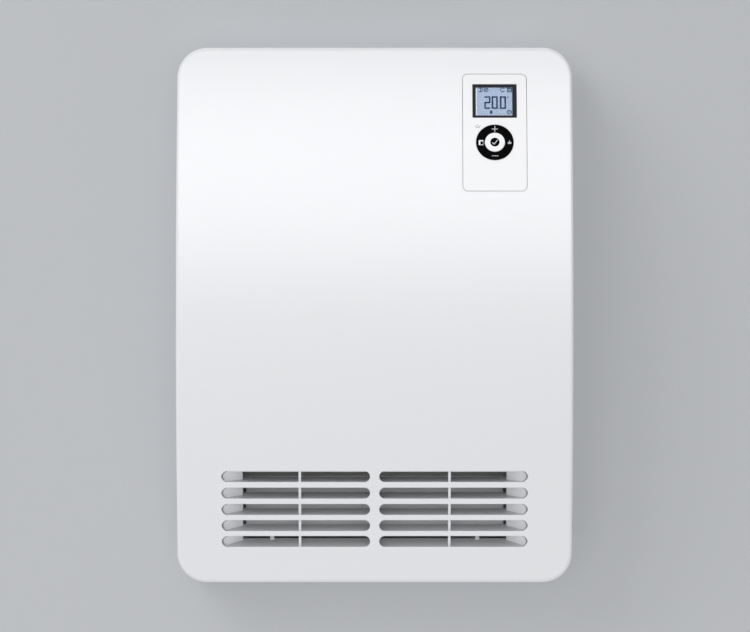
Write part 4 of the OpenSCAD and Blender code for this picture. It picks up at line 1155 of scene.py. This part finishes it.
KEY_GAP = 0.3 * MM          # between two keys
KEY_TRAVEL = 0.6 * MM
KEY_FOOT = 5.2 * MM         # lower end of a key's foot, under the bow
FLANGE = 0.8 * MM           # thickness of a key's hidden flange
FLANGE_LIP = 0.9 * MM       # how far the flange stands out
FLANGE_TOP = 2.65 * MM      # the ring's flange, under the bow
RAISED = 0.1 * MM           # the round key above the ring


def ring_key(scene, turn):
    """A quarter of the ring with its hidden flange and foot, in the frame of the keys."""
    keys = scene.heater_keys
    inner, outer = keys.middle + KEY_GAP, keys.ring + FLANGE_LIP
    low = -FLANGE_TOP - FLANGE
    half = math.radians(47)         # a little over the half of a quarter, for the cuts below
    bm = bmesh.new()
    verts, edges = line_of(bm, [(r, 0, z) for r, z in (
        (inner, low), (outer, low), (outer, -FLANGE_TOP), (keys.ring, -FLANGE_TOP),
        (keys.ring, keys.proud), (inner, keys.proud))])
    bmesh.ops.rotate(bm, matrix=Matrix.Rotation(-half, 3, "Z"), verts=bm.verts)
    bmesh.ops.spin(bm, geom=verts + edges, axis=(0, 0, 1), angle=2 * half, steps=48)
    for side in (-1, 1):
        normal = Vector((-1, side, 0)).normalized()
        bmesh.ops.bisect_plane(bm, geom=everything(bm), clear_outer=True, dist=TINY,
                               plane_co=-normal * KEY_GAP / 2, plane_no=normal)
    bmesh.ops.holes_fill(bm, edges=[edge for edge in bm.edges if edge.is_boundary])
    bmesh.ops.recalc_face_normals(bm, faces=bm.faces)
    round_edges(bm, front_rims(bm, keys.proud), 0.25 * MM, 3)
    sunk = 0.05 * MM                # the foot's upper end, inside the key
    foot = disc(2 * MM, KEY_FOOT - FLANGE_TOP + sunk, 32, ((keys.ring + keys.middle) / 2, 0),
                sunk - FLANGE_TOP)
    return moved(join(bm, foot), Matrix.Rotation(math.radians(turn), 4, "Z"))


def middle_key(scene):
    """The round key, slightly dished, with its hidden flange."""
    keys = scene.heater_keys
    radius, rim = keys.middle, keys.middle + KEY_GAP + FLANGE_LIP
    top, dish = keys.proud + RAISED, 0.08 * MM
    low = -(FLANGE_TOP + FLANGE + KEY_TRAVEL + FIT + FLANGE)    # clear of the ring's flange
    outline = [(0, low), (rim, low), (rim, low + FLANGE), (radius, low + FLANGE), (radius, top),
               (radius * 0.9, top), (radius * 0.5, top - dish * 0.7), (0, top - dish)]
    bm = bmesh.new()
    verts, edges = line_of(bm, [(r, 0, z) for r, z in outline], closed=False)
    bmesh.ops.spin(bm, geom=verts + edges, axis=(0, 0, 1), angle=2 * math.pi, steps=96,
                   use_merge=True)
    bmesh.ops.remove_doubles(bm, verts=bm.verts, dist=TINY)
    bmesh.ops.recalc_face_normals(bm, faces=bm.faces)
    shoulder = [edge for edge in bm.edges if all(
        abs(vert.co.z - top) < TINY and abs(vert.co.xy.length - radius) < 10 * TINY
        for vert in edge.verts)]
    round_edges(bm, shoulder, 0.3 * MM, 3)
    return bm


def plus_mark(reach):
    """A thin plus whose upright is broken at the crossing."""
    stroke, arm, up = 0.4 * MM, 2.5 * MM, reach - 0.35 * MM
    return [bar((-arm, up), (arm, up), stroke), bar((0, up - arm), (0, up - stroke), stroke),
            bar((0, up + stroke), (0, up + 1.15 * arm), stroke)]


def dash_mark(reach):
    """A plain dash of three short strokes."""
    y, long, wide = -reach - 0.2 * MM, 1.0 * MM, 0.5 * MM
    return [bar((x * MM, y), (x * MM + long, y), wide) for x in (-2.35, -0.35, 1.65)]


def frame_mark(reach):
    """A frame with two broad and two thin sides."""
    left, low, across, tall = -reach + 0.4 * MM, -0.45 * MM, 2.05 * MM, 2.35 * MM
    sides = (((-1, 1), (1, 1), 1.2), ((-1, -1), (-1, 1), 1.5),      # the broad sides
             ((-1, -1), (1, -1), 0.55), ((1, -1), (1, 1), 0.25))    # the thin ones
    strokes = []
    for start, end, wide in sides:
        x, y = across - wide / 2 * MM, tall - wide / 2 * MM
        strokes.append(bar((left + start[0] * x, low + start[1] * y),
                           (left + end[0] * x, low + end[1] * y), wide * MM))
    return strokes


def ringed_mark(reach):
    """A short upright over two small rings."""
    x, ring = reach + 0.3 * MM, 0.65 * MM
    return [bar((x, -0.2 * MM), (x, 1.5 * MM), 0.38 * MM)] + [
        ring_of((x + side * ring, -0.8 * MM), ring, 0.4 * MM, steps=24) for side in (-1, 1)]


def tick_mark():
    """The tick on the round key, as two strokes."""
    wide, heel = 0.54 * MM, (-0.6 * MM, -1.9 * MM)
    return [bar((-2.3 * MM, -0.4 * MM), heel, wide), bar(heel, (2.2 * MM, 1.9 * MM), wide)]


def ray_mark():
    """A small faint sign beside the ring: three short rays over a bar."""
    wide = 0.9 * MM
    strokes = [bar((-1.5 * MM, 0), (1.5 * MM, 0), wide)]
    for turn in (-55, 0, 55):
        ray = bar((0, 1.4 * MM), (0, 2.7 * MM), wide)
        strokes.append(moved(ray, Matrix.Rotation(math.radians(turn), 4, "Z")))
    return join(*strokes)


RING_KEYS = {           # each key's turn round the ring, in degrees, and its mark
    "right_key": (0, ringed_mark),
    "plus_key": (90, plus_mark),
    "left_key": (180, frame_mark),
    "menu_key": (270, dash_mark),
}


class HEATER_OT_keys(bpy.types.Operator):
    """Makes the ring of keys, the round key in its middle, and their marks"""

    bl_idname = "heater.keys"
    bl_label = "Keys"

    def execute(self, context):
        scene, bow = context.scene, Bow(context.scene)
        keys = scene.heater_keys
        x, along = panel_place(scene, bow)
        place = bow.place(x, along - keys.down)
        ink = moulded("finish_key_marks", (*keys.mark, 1), gloss=(0.35, 0.45), relief=0.02,
                      drift=0.98)
        black = finish_named("black_gloss")

        lift = place @ Matrix.Translation((0, 0, keys.proud + SKIN))
        for name, (turn, mark) in RING_KEYS.items():
            cap = piece(f"{name}_cap", moved(ring_key(scene, turn), place), black, name)
            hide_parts(name)
            strokes = mark((keys.ring + keys.middle) / 2)
            piece(f"{name}_mark", moved(join(*strokes), lift), ink, name,
                  weighted=False)

        cap = piece("ok_key_cap", moved(middle_key(scene), place), finish_named("key_white"),
                    "ok_key")
        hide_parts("ok_key")
        dot_top, dot_thick = keys.proud + 0.08 * MM, 0.06 * MM
        dot = disc(keys.dot, dot_thick, 64, top=dot_top)
        piece("ok_key_dot", moved(dot, place), black, "ok_key", weighted=False)
        lift = place @ Matrix.Translation((0, 0, dot_top + SKIN))
        piece("ok_key_tick", moved(join(*tick_mark()), lift), ink, "ok_key",
              weighted=False)

        faint = moulded("finish_ray_mark", rgb(186, 187, 190), relief=0.02, drift=0.97)
        beside = Matrix.Translation((-14.9 * MM, 13.8 * MM, 0))
        sign = lay_on_bow(moved(ray_mark(), beside), bow, x, along - keys.down)
        piece("ray_mark", sign, faint, weighted=False)
        return {"FINISHED"}


# ---------------------------------------------------------------- other parts


SOFTENED = {            # CAD parts that only need their edges rounded, in millimetres
    "rear_casing": 0.6,
    "wall_bracket": 0.3,
    "filter_rack": 0.3,
    "filter_frame": 0.4,
    "switch_body": 0.5,
    "rocker": 0.5,
    "cable_grommet": 0.5,
    "terminal_block": 0.4,
    "power_relays": 0.6,
    "scroll_plate": 0.15,
    "cover_screws": 0.15,
}


class HEATER_OT_edges(bpy.types.Operator):
    """Rounds the edges of the rear casing, bracket, filter, switch and small parts"""

    bl_idname = "heater.edges"
    bl_label = "Rounded edges"

    def execute(self, context):
        for node, radius in SOFTENED.items():
            softened(node, radius * MM)
        return {"FINISHED"}


# ---------------------------------------------------------------- studio


LAMPS = {               # place, what it aims at, and width and height, in metres
    "sheen": ((0.1, -1.75, 1.2), (0, -0.1, 0), (2.6, 1.8)),
    "front": ((-0.5, -5.4, -0.35), (0, -0.1, 0), (3.2, 2.4)),
    "key": ((-2.2, -2.2, 2.2), (0, -0.1, 0), (2.4, 2.4)),
    "low": ((-0.2, -0.6, -1.3), (0, -0.1, 0), (1.8, 0.6)),
    "back": ((0.6, 2.6, 1.4), (0, 0, 0), (2.4, 2.4)),
}


def clear_scene():
    """Takes out what an empty file starts with."""
    for thing in list(bpy.context.scene.objects):
        from_cad = thing.name in frame["nodes"] or "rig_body" in thing
        if thing.type in {"MESH", "LIGHT", "CAMERA"} and not from_cad:
            bpy.data.objects.remove(thing)


def add_camera(studio):
    """A long lens, square to the heater and a little beside its middle."""
    sensor, beside, below = 36, 0.3 * MM, 0.9 * MM
    camera = bpy.data.cameras.new("camera")
    camera.sensor_width = sensor
    crown = studio.distance - bpy.context.scene.heater_casing.depth
    camera.lens = sensor * crown / (PHOTO_WIDTH * studio.scale * MM)
    camera.clip_start, camera.clip_end = 0.1, 60
    thing = bpy.data.objects.new("camera", camera)
    thing.location = (beside, -studio.distance, -below)
    thing.rotation_euler = (math.pi / 2, 0, 0)
    bpy.context.scene.collection.objects.link(thing)
    bpy.context.scene.camera = thing


def add_lamp(name, watts):
    """One of the lamps, which the camera doesn't see."""
    place, aim, size = LAMPS[name]
    lamp = bpy.data.lights.new(name, "AREA")
    lamp.shape = "RECTANGLE"
    lamp.size, lamp.size_y = size
    lamp.energy = watts
    thing = bpy.data.objects.new(name, lamp)
    thing.location = place
    thing.rotation_mode = "QUATERNION"
    thing.rotation_quaternion = (Vector(aim) - Vector(place)).to_track_quat("-Z", "Y")
    thing.visible_camera = False
    bpy.context.scene.collection.objects.link(thing)
    return thing


def looked_at(tree, x, y):
    """One for the rays that show the room: from the camera, and by way of gloss or glass."""
    ray = add(tree, "ShaderNodeLightPath", x - 400, y)
    straight = add(tree, "ShaderNodeMath", x - 200, y, operation="MAXIMUM")
    either = add(tree, "ShaderNodeMath", x, y, operation="MAXIMUM")
    tree.links.new(ray.outputs["Is Camera Ray"], straight.inputs[0])
    tree.links.new(ray.outputs["Is Glossy Ray"], straight.inputs[1])
    tree.links.new(straight.outputs["Value"], either.inputs[0])
    tree.links.new(ray.outputs["Is Transmission Ray"], either.inputs[1])
    return either.outputs["Value"]


def backdrop_finish(studio):
    """Pale paint that is only there from the front, so that a view from behind sees past it."""
    material, tree, shader = new_finish("backdrop")
    colour = (*studio.backdrop, 1)
    tones = effect(tree, tone_drift, -350, 150, first=colour, second=shaded(colour, 0.99), scale=1)
    tree.links.new(tones.outputs["Colour"], shader.inputs["Base Color"])
    shader.inputs["Roughness"].default_value = 0.9
    shader.inputs["Specular IOR Level"].default_value = 0.1
    side = add(tree, "ShaderNodeNewGeometry", 0, 400)
    seen = add(tree, "ShaderNodeMath", 200, 300, operation="SUBTRACT", use_clamp=True)
    clear = add(tree, "ShaderNodeBsdfTransparent", 300, -200)
    mix = add(tree, "ShaderNodeMixShader", 500, 0)
    tree.links.new(looked_at(tree, 0, 200), seen.inputs[0])
    tree.links.new(side.outputs["Backfacing"], seen.inputs[1])
    tree.links.new(seen.outputs["Value"], mix.inputs["Fac"])
    tree.links.new(clear.outputs["BSDF"], mix.inputs[1])
    tree.links.new(shader.outputs["BSDF"], mix.inputs[2])
    output = tree.nodes["Material Output"]
    output.location = (700, 0)
    tree.links.new(mix.outputs["Shader"], output.inputs["Surface"])
    return material


def add_backdrop(studio):
    """A wall behind the heater that meets a floor far below it."""
    half, high, floor, front = 14.0, 9.0, -1.5, -14.0
    behind = 0.5 * MM           # gap between the wall and the bracket
    bm = bmesh.new()
    edges = line_of(bm, [(-half, behind, high), (-half, behind, floor), (-half, front, floor)],
                    closed=False)[1]
    pulled = bmesh.ops.extrude_edge_only(bm, edges=edges)
    bmesh.ops.translate(bm, vec=(2 * half, 0, 0), verts=new_verts(pulled))
    middle = Vector((0, front / 2, high / 2))
    for face in bm.faces:
        if face.normal.dot(middle - face.calc_center_median()) < 0:
            face.normal_flip()
    mesh = bpy.data.meshes.new("backdrop")
    bm.to_mesh(mesh)
    bm.free()
    mesh.materials.append(backdrop_finish(studio))
    thing = bpy.data.objects.new("backdrop", mesh)
    bpy.context.scene.collection.objects.link(thing)


def add_world(studio):
    """Even light of the room, seen by the camera as a pale grey."""
    world = bpy.context.scene.world or bpy.data.worlds.new("room")
    bpy.context.scene.world = world
    world.use_nodes = True
    tree = world.node_tree
    tree.nodes.clear()
    glow = add(tree, "ShaderNodeBackground", 0, 100)
    glow.inputs["Color"].default_value = (0.985, 0.99, 1, 1)
    glow.inputs["Strength"].default_value = studio.sky
    pale = add(tree, "ShaderNodeBackground", 0, -100)
    pale.inputs["Color"].default_value = (*studio.backdrop, 1)
    mix = add(tree, "ShaderNodeMixShader", 250, 0)
    output = add(tree, "ShaderNodeOutputWorld", 500, 0)
    tree.links.new(looked_at(tree, 0, 300), mix.inputs["Fac"])
    tree.links.new(glow.outputs["Background"], mix.inputs[1])
    tree.links.new(pale.outputs["Background"], mix.inputs[2])
    tree.links.new(mix.outputs["Shader"], output.inputs["Surface"])


class HEATER_OT_stage(bpy.types.Operator):
    """Sets up the camera, the lamps, the wall and the floor"""

    bl_idname = "heater.stage"
    bl_label = "Stage"

    def execute(self, context):
        studio = context.scene.heater_studio
        clear_scene()
        context.scene.view_settings.view_transform = "Standard"
        add_camera(studio)
        lamps = {name: add_lamp(name, getattr(studio, name)) for name in LAMPS}
        lamps["sheen"].visible_diffuse = False
        lamps["front"].visible_glossy = False
        add_backdrop(studio)
        add_world(studio)
        return {"FINISHED"}


# ---------------------------------------------------------------- panel and registration


class HEATER_PT_sidebar(bpy.types.Panel):
    """Buttons that make the parts, and the settings they are made from"""

    bl_idname = "HEATER_PT_sidebar"
    bl_label = "Wall fan heater"
    bl_space_type = "VIEW_3D"
    bl_region_type = "UI"
    bl_category = "Heater"

    def draw(self, context):
        for operator in OPERATORS:
            self.layout.operator(operator.bl_idname)
        for name in SETTINGS:
            box = self.layout.box()
            group = getattr(context.scene, name)
            for key in group.__annotations__:
                box.prop(group, key)


OPERATORS = (
    HEATER_OT_stage,
    HEATER_OT_finishes,
    HEATER_OT_casing,
    HEATER_OT_outlet,
    HEATER_OT_panel,
    HEATER_OT_display,
    HEATER_OT_keys,
    HEATER_OT_edges,
)
CLASSES = (*SETTINGS.values(), *OPERATORS, HEATER_PT_sidebar)


def register():
    for cls in CLASSES:
        bpy.utils.register_class(cls)
    for name, group in SETTINGS.items():
        setattr(bpy.types.Scene, name, PointerProperty(type=group))


def unregister():
    for name in SETTINGS:
        delattr(bpy.types.Scene, name)
    for cls in reversed(CLASSES):
        bpy.utils.unregister_class(cls)


def main():
    """Makes every part in order."""
    register()
    bpy.ops.heater.stage()
    bpy.ops.heater.finishes()
    bpy.ops.heater.casing()
    bpy.ops.heater.outlet()
    bpy.ops.heater.panel()
    bpy.ops.heater.display()
    bpy.ops.heater.keys()
    bpy.ops.heater.edges()


if __name__ == "__main__":
    main()
